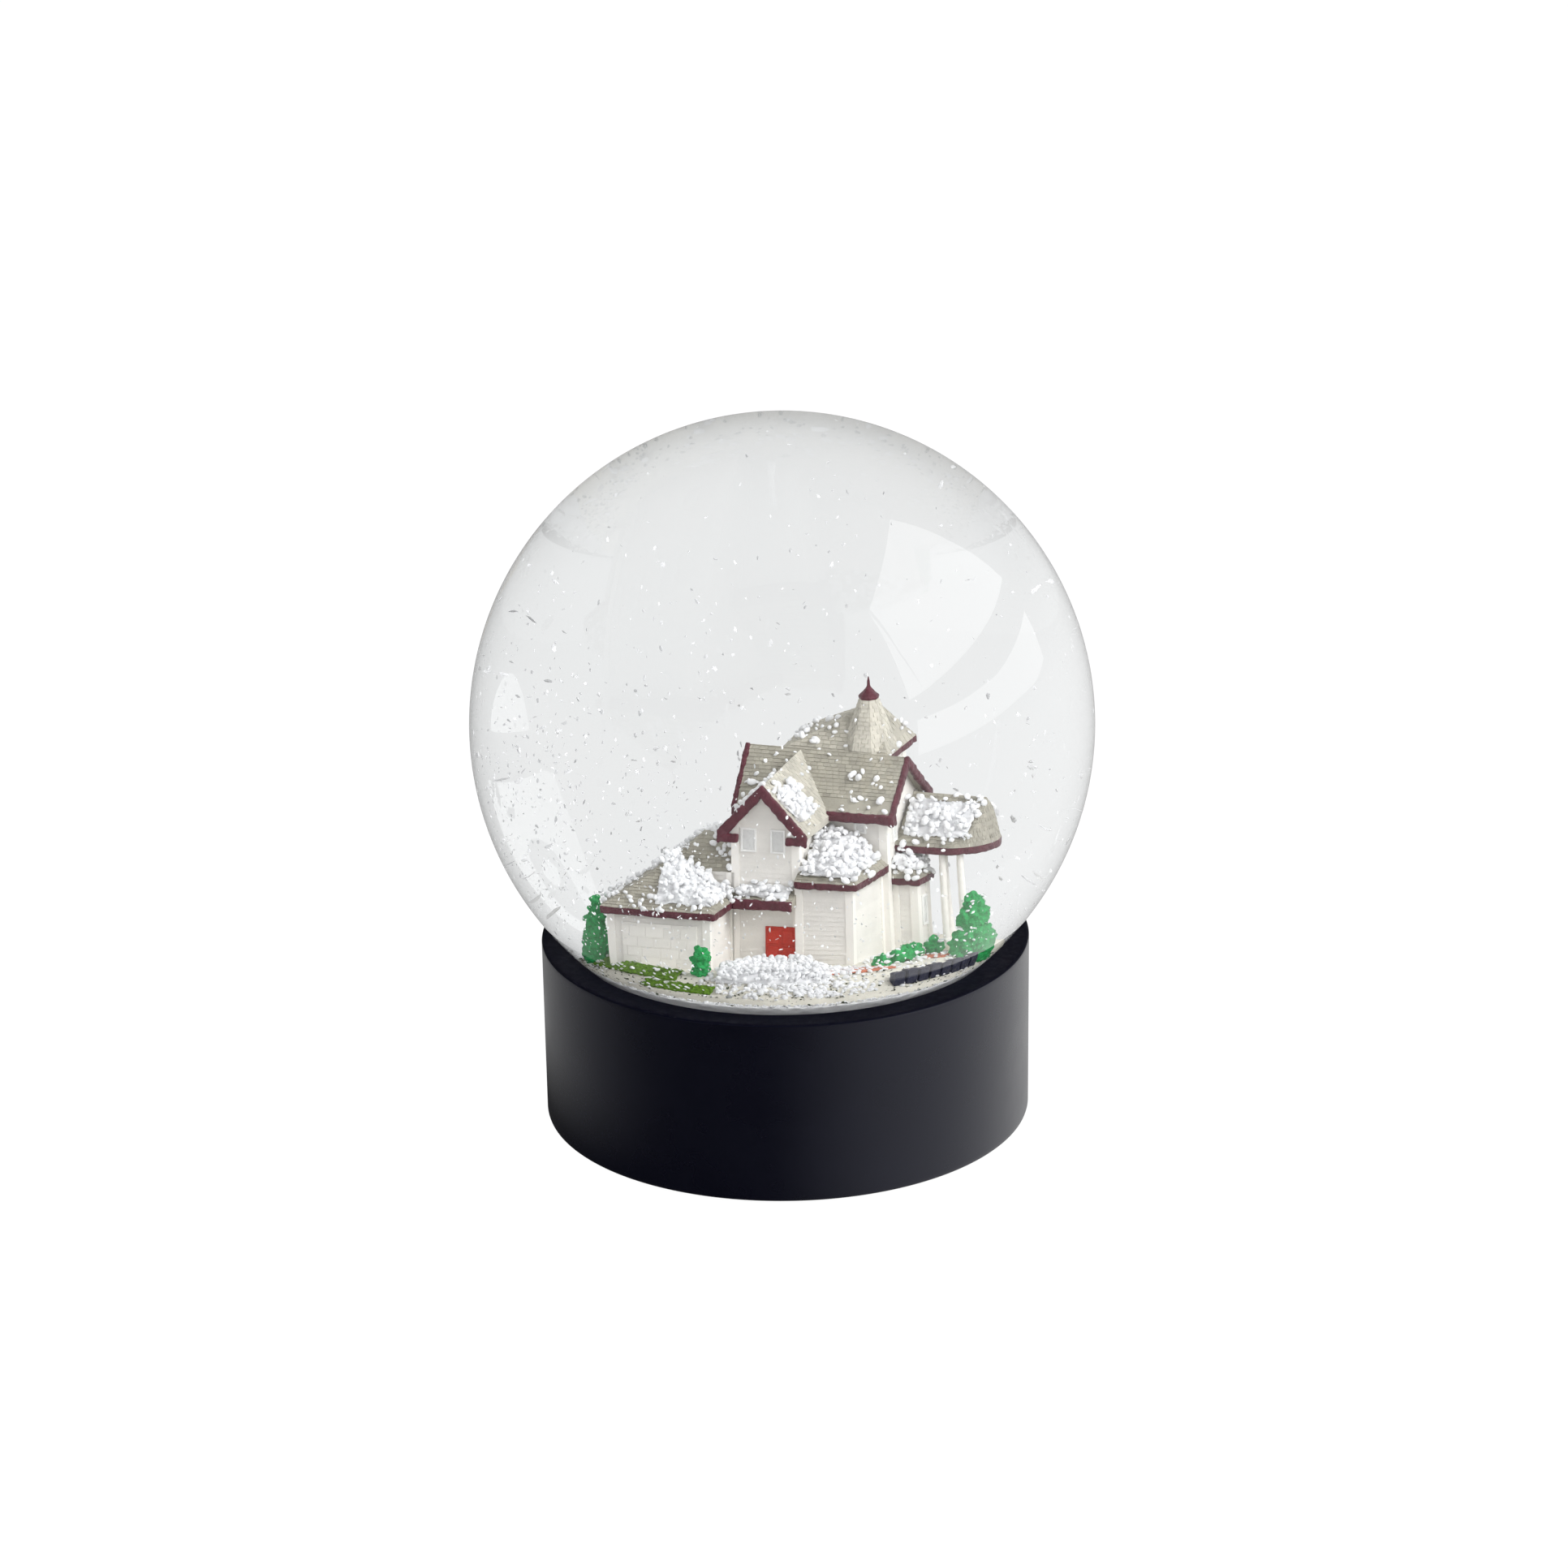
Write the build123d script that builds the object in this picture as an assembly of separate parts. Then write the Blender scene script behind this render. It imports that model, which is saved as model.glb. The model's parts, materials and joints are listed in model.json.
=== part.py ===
from build123d import *
import math
import os
import random

# Snow globe, in mm. The origin is the centre of the underside, +Z is up and the front faces -Y.

# Glass globe
BALL_R = 50.0
GLASS_WALL = 2.0
NECK_R = 31.0
NECK_DROP = 15.5
NECK_MIN = 4.0
LIP_R = 32.2
LIP_H = 1.6

# Base
BASE_R = 39.7
BASE_RIM_Z = 30.4
BASE_WALL = 3.0
RIM_WIDTH = 4.5
RIM_THICK = 4.5
RIM_EDGE = 0.35
FLOOR_GAP = 0.5
FELT_R = 37.6
FELT_H = 1.0
PLATE_H = 2.0
WELL_WALL = 1.4
RIB_COUNT = 6
RIB_T = 1.6

# Stopper and what it carries
STOPPER_DROP = 2.5
STOPPER_RING_H = 1.2
FLANGE_H = 2.0
FILL_HOLE_R = 2.5
GLUE_H = 0.3
MOUND_H = 9.4
MOUND_R = 28.0
PLATEAU_R = 22.0
MOUND_FALL = 3.7

# Fits between pieces
PLATE_GAP = 0.1
SEAT_GAP = 0.12
GLUE_GAP = 0.4
WATER_GAP = 0.3

# The house turns clockwise by this angle, so its front and its right side show from the front.
HOUSE_YAW = -18.0
ROOF_T = 0.8
FASCIA_T = 0.35
TRIM_H = 0.9

# Snow
FLAKE_COUNT = 84
FLAKE_SIZE = 1.1
FLAKE_T = 0.3
SNOW_T = 0.7
LOW_CLEAR_R = 28.6
LOW_CLEAR_TOP = 20.5
HIGH_CLEAR_R = 24.0
HIGH_CLEAR_TOP = 32.5

# Derived sizes
MOUTH_R = BASE_R - RIM_WIDTH
BALL_Z = BASE_RIM_Z + math.sqrt(BALL_R ** 2 - MOUTH_R ** 2)
BORE_R = NECK_R - GLASS_WALL
NECK_TOP_Z = BALL_Z - math.sqrt(BALL_R ** 2 - NECK_R ** 2)
NECK_Z = min(BASE_RIM_Z - NECK_DROP, NECK_TOP_Z - NECK_MIN - LIP_H)
STOPPER_Z = BASE_RIM_Z - STOPPER_DROP
GROUND_Z = STOPPER_Z + GLUE_H + MOUND_H
PLATE_TOP = FELT_H + PLATE_H
SHELL_INNER_R = BASE_R - BASE_WALL
WELL_R = LIP_R + GLUE_GAP
WATER_R = BALL_R - GLASS_WALL - WATER_GAP
LEVEL = (Align.CENTER, Align.CENTER, Align.MIN)
CORNER = (Align.MIN, Align.MIN, Align.MIN)


def disc(radius, low, high):
    """Upright cylinder on the axis between two heights."""
    return Pos(0, 0, low) * Cylinder(radius, high - low, align=LEVEL)


def ring(outer, inner, low, high):
    """Upright ring on the axis between two heights."""
    return disc(outer, low, high) - disc(inner, low - 1, high + 1)


def block(u, v, w):
    """Box from three (low, high) spans in the house's own directions."""
    size = Box(u[1] - u[0], v[1] - v[0], w[1] - w[0], align=CORNER)
    return Pos(u[0], v[0], w[0]) * size


def prism_u(points, span):
    """Outline in (v, w) carried along u."""
    face = Plane.YZ * Polygon(*points, align=None)
    return Pos(span[0], 0, 0) * extrude(face, amount=span[1] - span[0], dir=(1, 0, 0))


def prism_v(points, span):
    """Outline in (u, w) carried along v."""
    face = Plane.XZ * Polygon(*points, align=None)
    return Pos(0, span[0], 0) * extrude(face, amount=span[1] - span[0], dir=(0, 1, 0))


def hip(base, top, low, high):
    """Hipped roof body: a rectangle (u0, u1, v0, v1) drawn in to a smaller one above it."""
    faces = []
    for (u0, u1, v0, v1), height in ((base, low), (top, high)):
        place = Plane.XY.offset(height) * Pos((u0 + u1) / 2, (v0 + v1) / 2)
        faces.append(place * Rectangle(u1 - u0, v1 - v0))
    return loft(faces, ruled=True)


def eave_band(u, v, w, inset=FASCIA_T):
    """Hollow rectangular band around the foot of a hipped roof."""
    inner = block((u[0] + inset, u[1] - inset), (v[0] + inset, v[1] - inset), (w[0] - 1, w[1] + 1))
    return block(u, v, w) - inner


def gable_points(centre, half, ridge, slope, thick, floor=None):
    """Outline of a pitched roof skin, or of the wall below it when a floor height is given."""
    tip = ridge - half * slope
    if floor is not None:
        foot = [(centre - half, floor), (centre + half, floor)]
        return foot + [(centre + half, tip), (centre, ridge), (centre - half, tip)]
    outer = [(centre - half, tip), (centre, ridge), (centre + half, tip)]
    inner = [(centre + half, tip - thick), (centre, ridge - thick), (centre - half, tip - thick)]
    return outer + inner


def ground_mound():
    """Cast ground of the scene: a flat top that falls away to an upright rim."""
    foot = GROUND_Z - MOUND_H
    edge = GROUND_Z - MOUND_FALL
    side = disc(MOUND_R, foot, edge)
    slope = Pos(0, 0, edge) * Cone(MOUND_R, PLATEAU_R, MOUND_FALL, align=LEVEL)
    return side + slope


def placed(shape):
    """Carry a piece from the house's directions to the ground and cut it to the ground's shape."""
    return shape.rotate(Axis.Z, HOUSE_YAW).moved(Location((0, 0, GROUND_Z))) - ground_mound()


def sector(inner, outer, start, stop):
    """Tall ring sector between two headings in degrees, for cutting layers on the ground."""
    step = (stop - start) / 8
    reach = outer / math.cos(math.radians(step / 2))
    arc = []
    for k in range(9):
        heading = math.radians(start + k * step)
        arc.append((reach * math.cos(heading), reach * math.sin(heading)))
    wedge = Polygon(*arc, (0, 0), align=None)
    plan = (wedge & Circle(outer)) - Circle(inner)
    return extrude(plan, amount=GROUND_Z + 10, dir=(0, 0, 1))


def ground_layer(height, region):
    """Layer of even height on the ground, inside a plan region."""
    ground = ground_mound()
    raised = Pos(0, 0, height) * ground
    return (raised & region) - ground


def polar(radius, heading):
    """X and Y of a place given by radius and heading in degrees."""
    angle = math.radians(heading)
    return radius * math.cos(angle), radius * math.sin(angle)


# ---- base ----


def base_shell():
    """Moulded base with a thick top rim shaped to the globe, a glue well and ribs."""
    body = ring(BASE_R, SHELL_INNER_R, FLOOR_GAP, BASE_RIM_Z)
    body += ring(SHELL_INNER_R + 0.5, WELL_R, BASE_RIM_Z - RIM_THICK, BASE_RIM_Z)
    body += ring(WELL_R + WELL_WALL, WELL_R, PLATE_TOP + 4, BASE_RIM_Z - 1)
    for k in range(RIB_COUNT):
        length = SHELL_INNER_R + 0.5 - WELL_R - WELL_WALL / 2
        rib = Box(length, RIB_T, BASE_RIM_Z - 1 - PLATE_TOP, align=(Align.MIN, Align.CENTER, Align.MIN))
        body += Rot(0, 0, 30 + k * 360 / RIB_COUNT) * Pos(WELL_R + WELL_WALL / 2, 0, PLATE_TOP) * rib
    edges = body.edges().filter_by(GeomType.CIRCLE)
    rims = [e for e in edges if abs(e.radius - BASE_R) < 0.01]
    body = chamfer(rims, RIM_EDGE)
    return body - Pos(0, 0, BALL_Z) * Sphere(BALL_R + SEAT_GAP)


def bottom_plate():
    """Flat disc that closes the base under the ribs."""
    return disc(SHELL_INNER_R - PLATE_GAP, FELT_H, PLATE_TOP)


def felt_pad():
    """Felt disc that the globe stands on."""
    return disc(min(FELT_R, SHELL_INNER_R - PLATE_GAP), 0, FELT_H)


def globe_adhesive():
    """Ring of adhesive that fills the well around the neck."""
    top = BASE_RIM_Z - RIM_THICK - 0.6
    glue = ring(WELL_R, NECK_R - 0.5, NECK_Z, top)
    return glue - glass_outside()


# ---- globe and stopper ----


def glass_outside():
    """Outside of the blown globe, solid."""
    neck = disc(NECK_R, NECK_Z, BALL_Z - 30)
    lip = disc(LIP_R, NECK_Z, NECK_Z + LIP_H)
    return Pos(0, 0, BALL_Z) * Sphere(BALL_R) + neck + lip


def glass_globe():
    """Blown glass ball with a straight open neck and a thickened lip."""
    hollow = Pos(0, 0, BALL_Z) * Sphere(BALL_R - GLASS_WALL)
    hollow += disc(BORE_R, min(NECK_Z, BALL_Z - BALL_R) - 1, BALL_Z - 30)
    return glass_outside() - hollow


def rubber_stopper():
    """Rubber plug with two sealing ribs and a flange that closes the neck."""
    plug = disc(BORE_R - 0.4, NECK_Z - 0.5, STOPPER_Z)
    for low in (NECK_Z + 3, NECK_Z + 7):
        plug += disc(BORE_R, low, low + STOPPER_RING_H)
    plug += disc(LIP_R, NECK_Z - FLANGE_H, NECK_Z)
    return plug - disc(FILL_HOLE_R, NECK_Z - FLANGE_H - 1, STOPPER_Z + 1)


def filler_plug():
    """Small rubber pin that closes the filling hole in the stopper."""
    head = disc(FILL_HOLE_R + 1.5, NECK_Z - FLANGE_H - 1.2, NECK_Z - FLANGE_H)
    return head + disc(FILL_HOLE_R, NECK_Z - FLANGE_H - 0.2, STOPPER_Z - 1)


def scene_adhesive():
    """Film of adhesive between the stopper and the cast ground."""
    return disc(BORE_R - 3, STOPPER_Z, STOPPER_Z + GLUE_H)


# ---- garden ----


def lawn_patches():
    """Green strips of lawn on the left of the slope."""
    near = ground_layer(0.35, sector(PLATEAU_R - 0.6, 24.4, 190, 232))
    far = ground_layer(0.35, sector(24.9, 27.2, 222, 247))
    return near + far - garage_walls() - garage_door() - left_tree()


def garden_path():
    """Terracotta path in two stretches on the right of the house."""
    front = ground_layer(0.3, sector(17.2, 21.6, 286, 312))
    side = ground_layer(0.3, sector(14.6, 20.6, 340, 351))
    return front + side - hedges() - right_tree()


def edging_stones():
    """Row of plain dark stones along the right front edge."""
    row = None
    for k in range(8):
        heading = 306 + k * 4.6
        x, y = polar(25.8, heading)
        stone = Pos(x, y, GROUND_Z - 3.0) * Rot(0, 0, heading) * Box(1.8, 1.8, 5.4 + 0.5 * (k % 2))
        row = stone if row is None else row + stone
    return row - ground_mound()


def bush(x, y, radius, height):
    """Rounded bush: an upright post of foliage with a domed top."""
    stem = Pos(x, y, GROUND_Z - 3) * Cylinder(radius, height + 3 - radius, align=LEVEL)
    return stem + Pos(x, y, GROUND_Z + height - radius) * Sphere(radius)


def hedges():
    """Low clipped bushes beside the front right walls."""
    group = None
    row = ((11.9, -11.2, 1.2, 1.5), (14.0, -7.6, 1.4, 1.8), (14.9, -4.2, 1.5, 2.0), (17.0, 0.3, 1.1, 1.8))
    for x, y, radius, height in row:
        one = bush(x, y, radius, height)
        group = one if group is None else group + one
    return group - ground_mound()


def left_tree():
    """Tall tree of three foliage tiers at the left."""
    x, y = -22.6, -2.6
    tree = bush(x, y, 1.8, 3.6)
    tree += Pos(x, y, GROUND_Z + 2.4) * Cone(1.7, 0.9, 3.2, align=LEVEL)
    tree += Pos(x, y, GROUND_Z + 4.8) * Cone(1.3, 0.3, 3.0, align=LEVEL)
    return tree - ground_mound()


def right_tree():
    """Tree of two rounded masses at the right."""
    x, y = 22.9, -4.5
    tree = bush(x, y, 3.0, 4.0)
    tree += Pos(x, y, GROUND_Z + 4.8) * Sphere(2.0)
    tree += Pos(x, y, GROUND_Z + 6.4) * Sphere(1.4)
    return tree - ground_mound()


def small_fir():
    """Small upright fir in front of the garage."""
    x, y = polar(21.6, 239)
    tree = Pos(x, y, GROUND_Z - 2) * Cylinder(1.15, 4.6, align=LEVEL)
    tree += Pos(x, y, GROUND_Z + 2.6) * Cone(1.15, 0.5, 1.6, align=LEVEL)
    return tree - ground_mound()


# ---- house: spans are (low, high) in the house's own directions u (right), v (back), w (up) ----

GARAGE_U = (-18.3, -5.3)
GARAGE_V = (-14.5, -4.0)
GARAGE_EAVE_W = 7.0
WING_U = (-5.1, 3.1)
WING_V = (-4.0, 5.0)
WING_RIDGE_W = 21.9
WING_SLOPE = 1.08
MAIN_U = (-6.0, 10.9)
MAIN_V = (5.0, 14.6)
MAIN_RIDGE_W = 22.0
MAIN_SLOPE = 0.93
MAIN_OVERHANG = 1.1
BAY_U = (3.1, 10.2)
BAY_V = (-5.0, 5.0)
BAY_EAVE_W = 9.5
SIDE_BAY_U = (10.9, 13.9)
SIDE_BAY_V = (6.4, 9.6)
SIDE_BAY_EAVE_W = 7.9
LINK_U = (-13.4, -5.1)
LINK_EAVE_W = 10.6
REAR_U = (-2.6, 8.2)
REAR_V = (11.0, 18.2)
REAR_EAVE_W = 20.8
TURRET_UV = (6.1, 13.4)
TURRET_LOW_R = 3.25
TURRET_HIGH_R = 1.1
REAR_PEAK_V = 15.2
REAR_PEAK_W = 26.3
TURRET_TOP_W = 27.6
PORCH_W = 7.0
VERANDA_V = 12.2
VERANDA_R = 4.7
VERANDA_END_U = 16.7
VERANDA_EAVE_W = 11.3
VERANDA_RIDGE_W = 17.2

WING_CENTRE = (WING_U[0] + WING_U[1]) / 2
WING_HALF = (WING_U[1] - WING_U[0]) / 2
WING_EAVE_HALF = WING_HALF + 1.3
MAIN_CENTRE = (MAIN_V[0] + MAIN_V[1]) / 2
MAIN_HALF = (MAIN_V[1] - MAIN_V[0]) / 2
MAIN_EAVE_HALF = MAIN_HALF + MAIN_OVERHANG


def main_roof_skin(extra=0.0):
    """Pitched skin of the main roof before it is cut round the front wing."""
    points = gable_points(MAIN_CENTRE, MAIN_EAVE_HALF, MAIN_RIDGE_W, MAIN_SLOPE, ROOF_T)
    return prism_u(points, (MAIN_U[0] - 1.1 - extra, MAIN_U[1] + 1.0 + extra))


def main_block():
    """Walls of the main house up to the underside of its roof."""
    ridge = MAIN_RIDGE_W - ROOF_T
    return prism_u(gable_points(MAIN_CENTRE, MAIN_HALF, ridge, MAIN_SLOPE, 0, 0), MAIN_U)


def wing_envelope():
    """Everything the front wing fills forward of the main wall, roof skin included."""
    points = gable_points(WING_CENTRE, WING_EAVE_HALF, WING_RIDGE_W, WING_SLOPE, 0, 0)
    return prism_v(points, (WING_V[0] - 2, WING_V[1]))


def main_walls():
    """Main two-storey house."""
    return placed(main_block())


def main_roof_body():
    """Main roof with the gap for the front wing."""
    return main_roof_skin() - wing_envelope() - main_block()


def main_roof():
    """Shingled main roof."""
    return placed(main_roof_body())


def main_bargeboards():
    """Trim along the front eave and both gable ends of the main roof."""
    points = gable_points(MAIN_CENTRE, MAIN_EAVE_HALF + 0.2, MAIN_RIDGE_W + 0.1, MAIN_SLOPE, TRIM_H + 0.2)
    left = MAIN_U[0] - 1.1
    right = MAIN_U[1] + 1.0
    boards = prism_u(points, (left - FASCIA_T, left)) + prism_u(points, (right, right + FASCIA_T))
    tip = MAIN_RIDGE_W - MAIN_EAVE_HALF * MAIN_SLOPE
    front = MAIN_CENTRE - MAIN_EAVE_HALF
    back = MAIN_CENTRE + MAIN_EAVE_HALF
    boards += block((left, right), (front - FASCIA_T, front), (tip - TRIM_H, tip))
    boards += block((left, right), (back, back + FASCIA_T), (tip - TRIM_H, tip))
    for low, high in ((front, front + 1.1), (back - 1.1, back)):
        boards += block((right, right + FASCIA_T), (low, high), (tip - TRIM_H - 0.35, tip - 0.2))
    return placed(boards - wing_envelope() - main_roof_body() - rear_block())


def wing_block():
    """Walls of the front wing up to the underside of its roof."""
    ridge = WING_RIDGE_W - ROOF_T
    return prism_v(gable_points(WING_CENTRE, WING_HALF, ridge, WING_SLOPE, 0, 0), WING_V)


def entrance_walls():
    """Front wing with the entrance below and the gable above."""
    return placed(wing_block())


def wing_roof_body():
    """Front gable roof carried back until it dies into the main roof."""
    points = gable_points(WING_CENTRE, WING_EAVE_HALF, WING_RIDGE_W, WING_SLOPE, ROOF_T)
    skin = prism_v(points, (WING_V[0] - 1.2, MAIN_CENTRE))
    return skin - main_roof_body() - main_block() - wing_block()


def front_gable_roof():
    """Shingled roof of the front gable."""
    return placed(wing_roof_body())


def front_gable_bargeboard():
    """Deep boards on the front gable with short returns at the eaves."""
    front = WING_V[0] - 1.2
    points = gable_points(WING_CENTRE, WING_EAVE_HALF + 0.15, WING_RIDGE_W + 0.1, WING_SLOPE, TRIM_H + 0.5)
    boards = prism_v(points, (front - 0.45, front))
    tip = WING_RIDGE_W - WING_EAVE_HALF * WING_SLOPE - TRIM_H
    for side in (-1, 1):
        outer = WING_CENTRE + side * WING_EAVE_HALF
        inner = outer - side * 2.3
        span = (min(outer, inner), max(outer, inner))
        boards += block(span, (front - 0.45, front), (tip - 0.35, tip + 0.45))
    return placed(boards)


def garage_walls():
    """Single-storey garage at the front left."""
    return placed(block(GARAGE_U, GARAGE_V, (-3, GARAGE_EAVE_W + 0.7)))


def garage_eave():
    """Plan spans of the garage roof's edge."""
    return (GARAGE_U[0] - 0.9, GARAGE_U[1] + 1.0), (GARAGE_V[0] - 1.0, GARAGE_V[1])


def garage_roof_body():
    """Hipped garage roof with its ridge running back to the link."""
    u, v = garage_eave()
    top = (-12.3, -11.9, v[0] + 5.4, v[1])
    body = hip((u[0], u[1], v[0], v[1]), top, GARAGE_EAVE_W + 0.7, GARAGE_EAVE_W + 5.4)
    return body


def garage_roof():
    """Shingled garage roof."""
    return placed(garage_roof_body())


def garage_fascia():
    """Trim around the garage eave."""
    u, v = garage_eave()
    band = eave_band(u, v, (GARAGE_EAVE_W - 0.15, GARAGE_EAVE_W + 0.7))
    return placed(band - block(GARAGE_U, GARAGE_V, (0, 20)))


def garage_door():
    """Wide plain door on the garage front."""
    span = (GARAGE_U[0] + 1.8, GARAGE_U[1] - 1.6)
    return placed(block(span, (GARAGE_V[0] - 0.2, GARAGE_V[0]), (-1, 5.8)))


def link_block():
    """Walls of the link between the garage and the main house."""
    return block(LINK_U, (GARAGE_V[1], MAIN_V[0]), (0, LINK_EAVE_W))


def link_walls():
    """Link block behind the garage."""
    return placed(link_block())


def link_roof_body():
    """Low hipped roof of the link."""
    base = (LINK_U[0] - 0.5, LINK_U[1], GARAGE_V[1], MAIN_V[0])
    top = (LINK_U[1] - 4.6, LINK_U[1], -1.2, 2.6)
    body = hip(base, top, LINK_EAVE_W, LINK_EAVE_W + 3.6)
    return body - wing_roof_body() - main_roof_body() - main_block()


def link_roof():
    """Shingled link roof."""
    return placed(link_roof_body())


def front_door():
    """Red double door."""
    return placed(block((-1.1, 2.65), (WING_V[0] - 0.3, WING_V[0]), (0, 4.3)))


def porch_body():
    """Shallow porch roof over the door, between the garage and the bay."""
    front = WING_V[0] - 2.9
    points = [(front, PORCH_W), (WING_V[0], PORCH_W), (WING_V[0], PORCH_W + 1.9), (front, PORCH_W + 0.9)]
    return prism_u(points, (GARAGE_U[1] + 1.0, BAY_U[0])) - bay_roof_body() - bay_eave_band()


def porch_roof():
    """Porch roof slab."""
    return placed(porch_body())


def porch_fascia():
    """Thick rounded trim along the porch edge."""
    front = WING_V[0] - 2.9
    span = (GARAGE_U[1] + 1.0, BAY_U[0])
    band = block(span, (front - 0.5, front), (PORCH_W - 0.1, PORCH_W + 1.0))
    return placed(band - bay_eave_band() - bay_roof_body())


def bay_eave():
    """Plan spans of the front bay's eave."""
    return (BAY_U[0], BAY_U[1] + 0.9), (BAY_V[0] - 0.9, BAY_V[1])


def bay_block():
    """Walls of the front bay."""
    return block(BAY_U, BAY_V, (0, BAY_EAVE_W + 0.8))


def bay_walls():
    """Front right bay."""
    return placed(bay_block())


def bay_roof_body():
    """Hipped roof of the front bay, leaning on the main wall."""
    u, v = bay_eave()
    top = (u[0], u[0] + 4.0, v[1] - 3.6, v[1])
    return hip((u[0], u[1], v[0], v[1]), top, BAY_EAVE_W + 0.8, BAY_EAVE_W + 4.1)


def bay_roof():
    """Shingled bay roof."""
    return placed(bay_roof_body())


def bay_eave_band():
    """Band around the bay's eave."""
    u, v = bay_eave()
    return eave_band(u, v, (BAY_EAVE_W, BAY_EAVE_W + 0.8)) - bay_block() - wing_block()


def bay_fascia():
    """Trim around the bay eave."""
    return placed(bay_eave_band())


def side_bay_eave():
    """Plan spans of the side bay's eave."""
    return (SIDE_BAY_U[0], SIDE_BAY_U[1] + 0.6), (SIDE_BAY_V[0] - 0.6, SIDE_BAY_V[1] + 0.6)


def side_bay_walls():
    """Small bay on the right gable wall."""
    return placed(block(SIDE_BAY_U, SIDE_BAY_V, (0, SIDE_BAY_EAVE_W + 0.7)))


def side_bay_roof_body():
    """Hipped roof of the side bay."""
    u, v = side_bay_eave()
    top = (u[0], u[0] + 1.4, v[0] + 1.3, v[1] - 1.3)
    return hip((u[0], u[1], v[0], v[1]), top, SIDE_BAY_EAVE_W + 0.7, SIDE_BAY_EAVE_W + 2.9)


def side_bay_roof():
    """Roof of the side bay."""
    return placed(side_bay_roof_body())


def side_bay_fascia():
    """Trim around the side bay's eave."""
    u, v = side_bay_eave()
    band = eave_band(u, v, (SIDE_BAY_EAVE_W, SIDE_BAY_EAVE_W + 0.7))
    return placed(band - block(SIDE_BAY_U, SIDE_BAY_V, (0, 20)))


def veranda_plan(grow=0.0):
    """Plan of the veranda: a strip with a half-round right end."""
    radius = VERANDA_R + grow
    length = VERANDA_END_U - MAIN_U[1]
    strip = Pos(MAIN_U[1] + length / 2, VERANDA_V) * Rectangle(length, 2 * radius)
    return strip + Pos(VERANDA_END_U, VERANDA_V) * Circle(radius)


def beyond_main():
    """Space to the right of the main house's side wall."""
    return block((MAIN_U[1], 60), (-60, 60), (-60, 60))


def veranda_roof_body():
    """Veranda roof: a pitched body with its right end rounded off."""
    tip = VERANDA_EAVE_W + 0.8
    half = VERANDA_R
    points = [(VERANDA_V - half, tip), (VERANDA_V + half, tip), (VERANDA_V, VERANDA_RIDGE_W)]
    pitched = prism_u(points, (MAIN_U[1], VERANDA_END_U + VERANDA_R + 1))
    column = extrude(Pos(0, 0, tip) * veranda_plan(), amount=VERANDA_RIDGE_W, taper=9)
    return (pitched & column & beyond_main()) - main_block()


def veranda_roof():
    """Shingled veranda roof."""
    return placed(veranda_roof_body())


def veranda_fascia():
    """Curved trim around the veranda's eave."""
    plan = veranda_plan() - veranda_plan(-FASCIA_T - 0.15)
    band = Pos(0, 0, VERANDA_EAVE_W) * extrude(plan, amount=0.8)
    return placed(band & beyond_main())


def veranda_deck():
    """Low deck under the veranda."""
    deck = Pos(0, 0, -3.2) * extrude(veranda_plan(-0.5), amount=4.0)
    return placed((deck & beyond_main()) - block(SIDE_BAY_U, SIDE_BAY_V, (-5, 5)))


def veranda_places():
    """Plan places of the veranda columns."""
    places = [(VERANDA_END_U - 0.3, VERANDA_V - 3.7), (VERANDA_END_U - 3.5, VERANDA_V + 3.7)]
    x, y = polar(3.7, -62)
    return places + [(VERANDA_END_U + x, VERANDA_V + y)]


def veranda_columns():
    """Turned columns that carry the veranda roof."""
    group = None
    for u, v in veranda_places():
        shaft = Pos(u, v, 0.8) * Cylinder(0.42, VERANDA_EAVE_W + 0.8 - 0.8, align=LEVEL)
        foot = Pos(u, v, 0.8) * Cylinder(0.62, 0.6, align=LEVEL)
        one = shaft + foot
        group = one if group is None else group + one
    return placed(group)


def rear_block():
    """Rear walls that rise through the back slope of the main roof."""
    return block(REAR_U, REAR_V, (0, REAR_EAVE_W + 0.7)) - main_block() - main_roof_skin(1.0)


def rear_walls():
    """Rear block."""
    return placed(rear_block())


def rear_eave():
    """Plan spans of the rear eave."""
    return (REAR_U[0] - 1.0, REAR_U[1] + 1.1), (REAR_V[0] - 0.3, REAR_V[1] + 1.0)


def rear_roof_body():
    """Rear hipped roof with its peak to the right, under the turret."""
    u, v = rear_eave()
    cu = TURRET_UV[0]
    peak = (cu - 0.3, cu + 0.3, REAR_PEAK_V - 0.3, REAR_PEAK_V + 0.3)
    body = hip((u[0], u[1], v[0], v[1]), peak, REAR_EAVE_W + 0.7, REAR_PEAK_W)
    return body - turret_body() - main_roof_skin(1.0)


def rear_roof():
    """Shingled rear roof."""
    return placed(rear_roof_body())


def rear_fascia():
    """Trim around the rear eave."""
    u, v = rear_eave()
    band = eave_band(u, v, (REAR_EAVE_W, REAR_EAVE_W + 0.7), 0.3)
    return placed(band - rear_block() - main_roof_skin(1.0) - main_block())


def turret_body():
    """Steep eight-sided turret roof."""
    cu, cv = TURRET_UV
    low = Plane.XY.offset(REAR_EAVE_W + 0.7) * Pos(cu, cv) * RegularPolygon(TURRET_LOW_R, 8, rotation=22.5)
    high = Plane.XY.offset(TURRET_TOP_W) * Pos(cu, cv) * RegularPolygon(TURRET_HIGH_R, 8, rotation=22.5)
    return loft([low, high], ruled=True) - main_roof_skin(1.0)


def turret_roof():
    """Cream turret roof."""
    return placed(turret_body())


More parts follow.
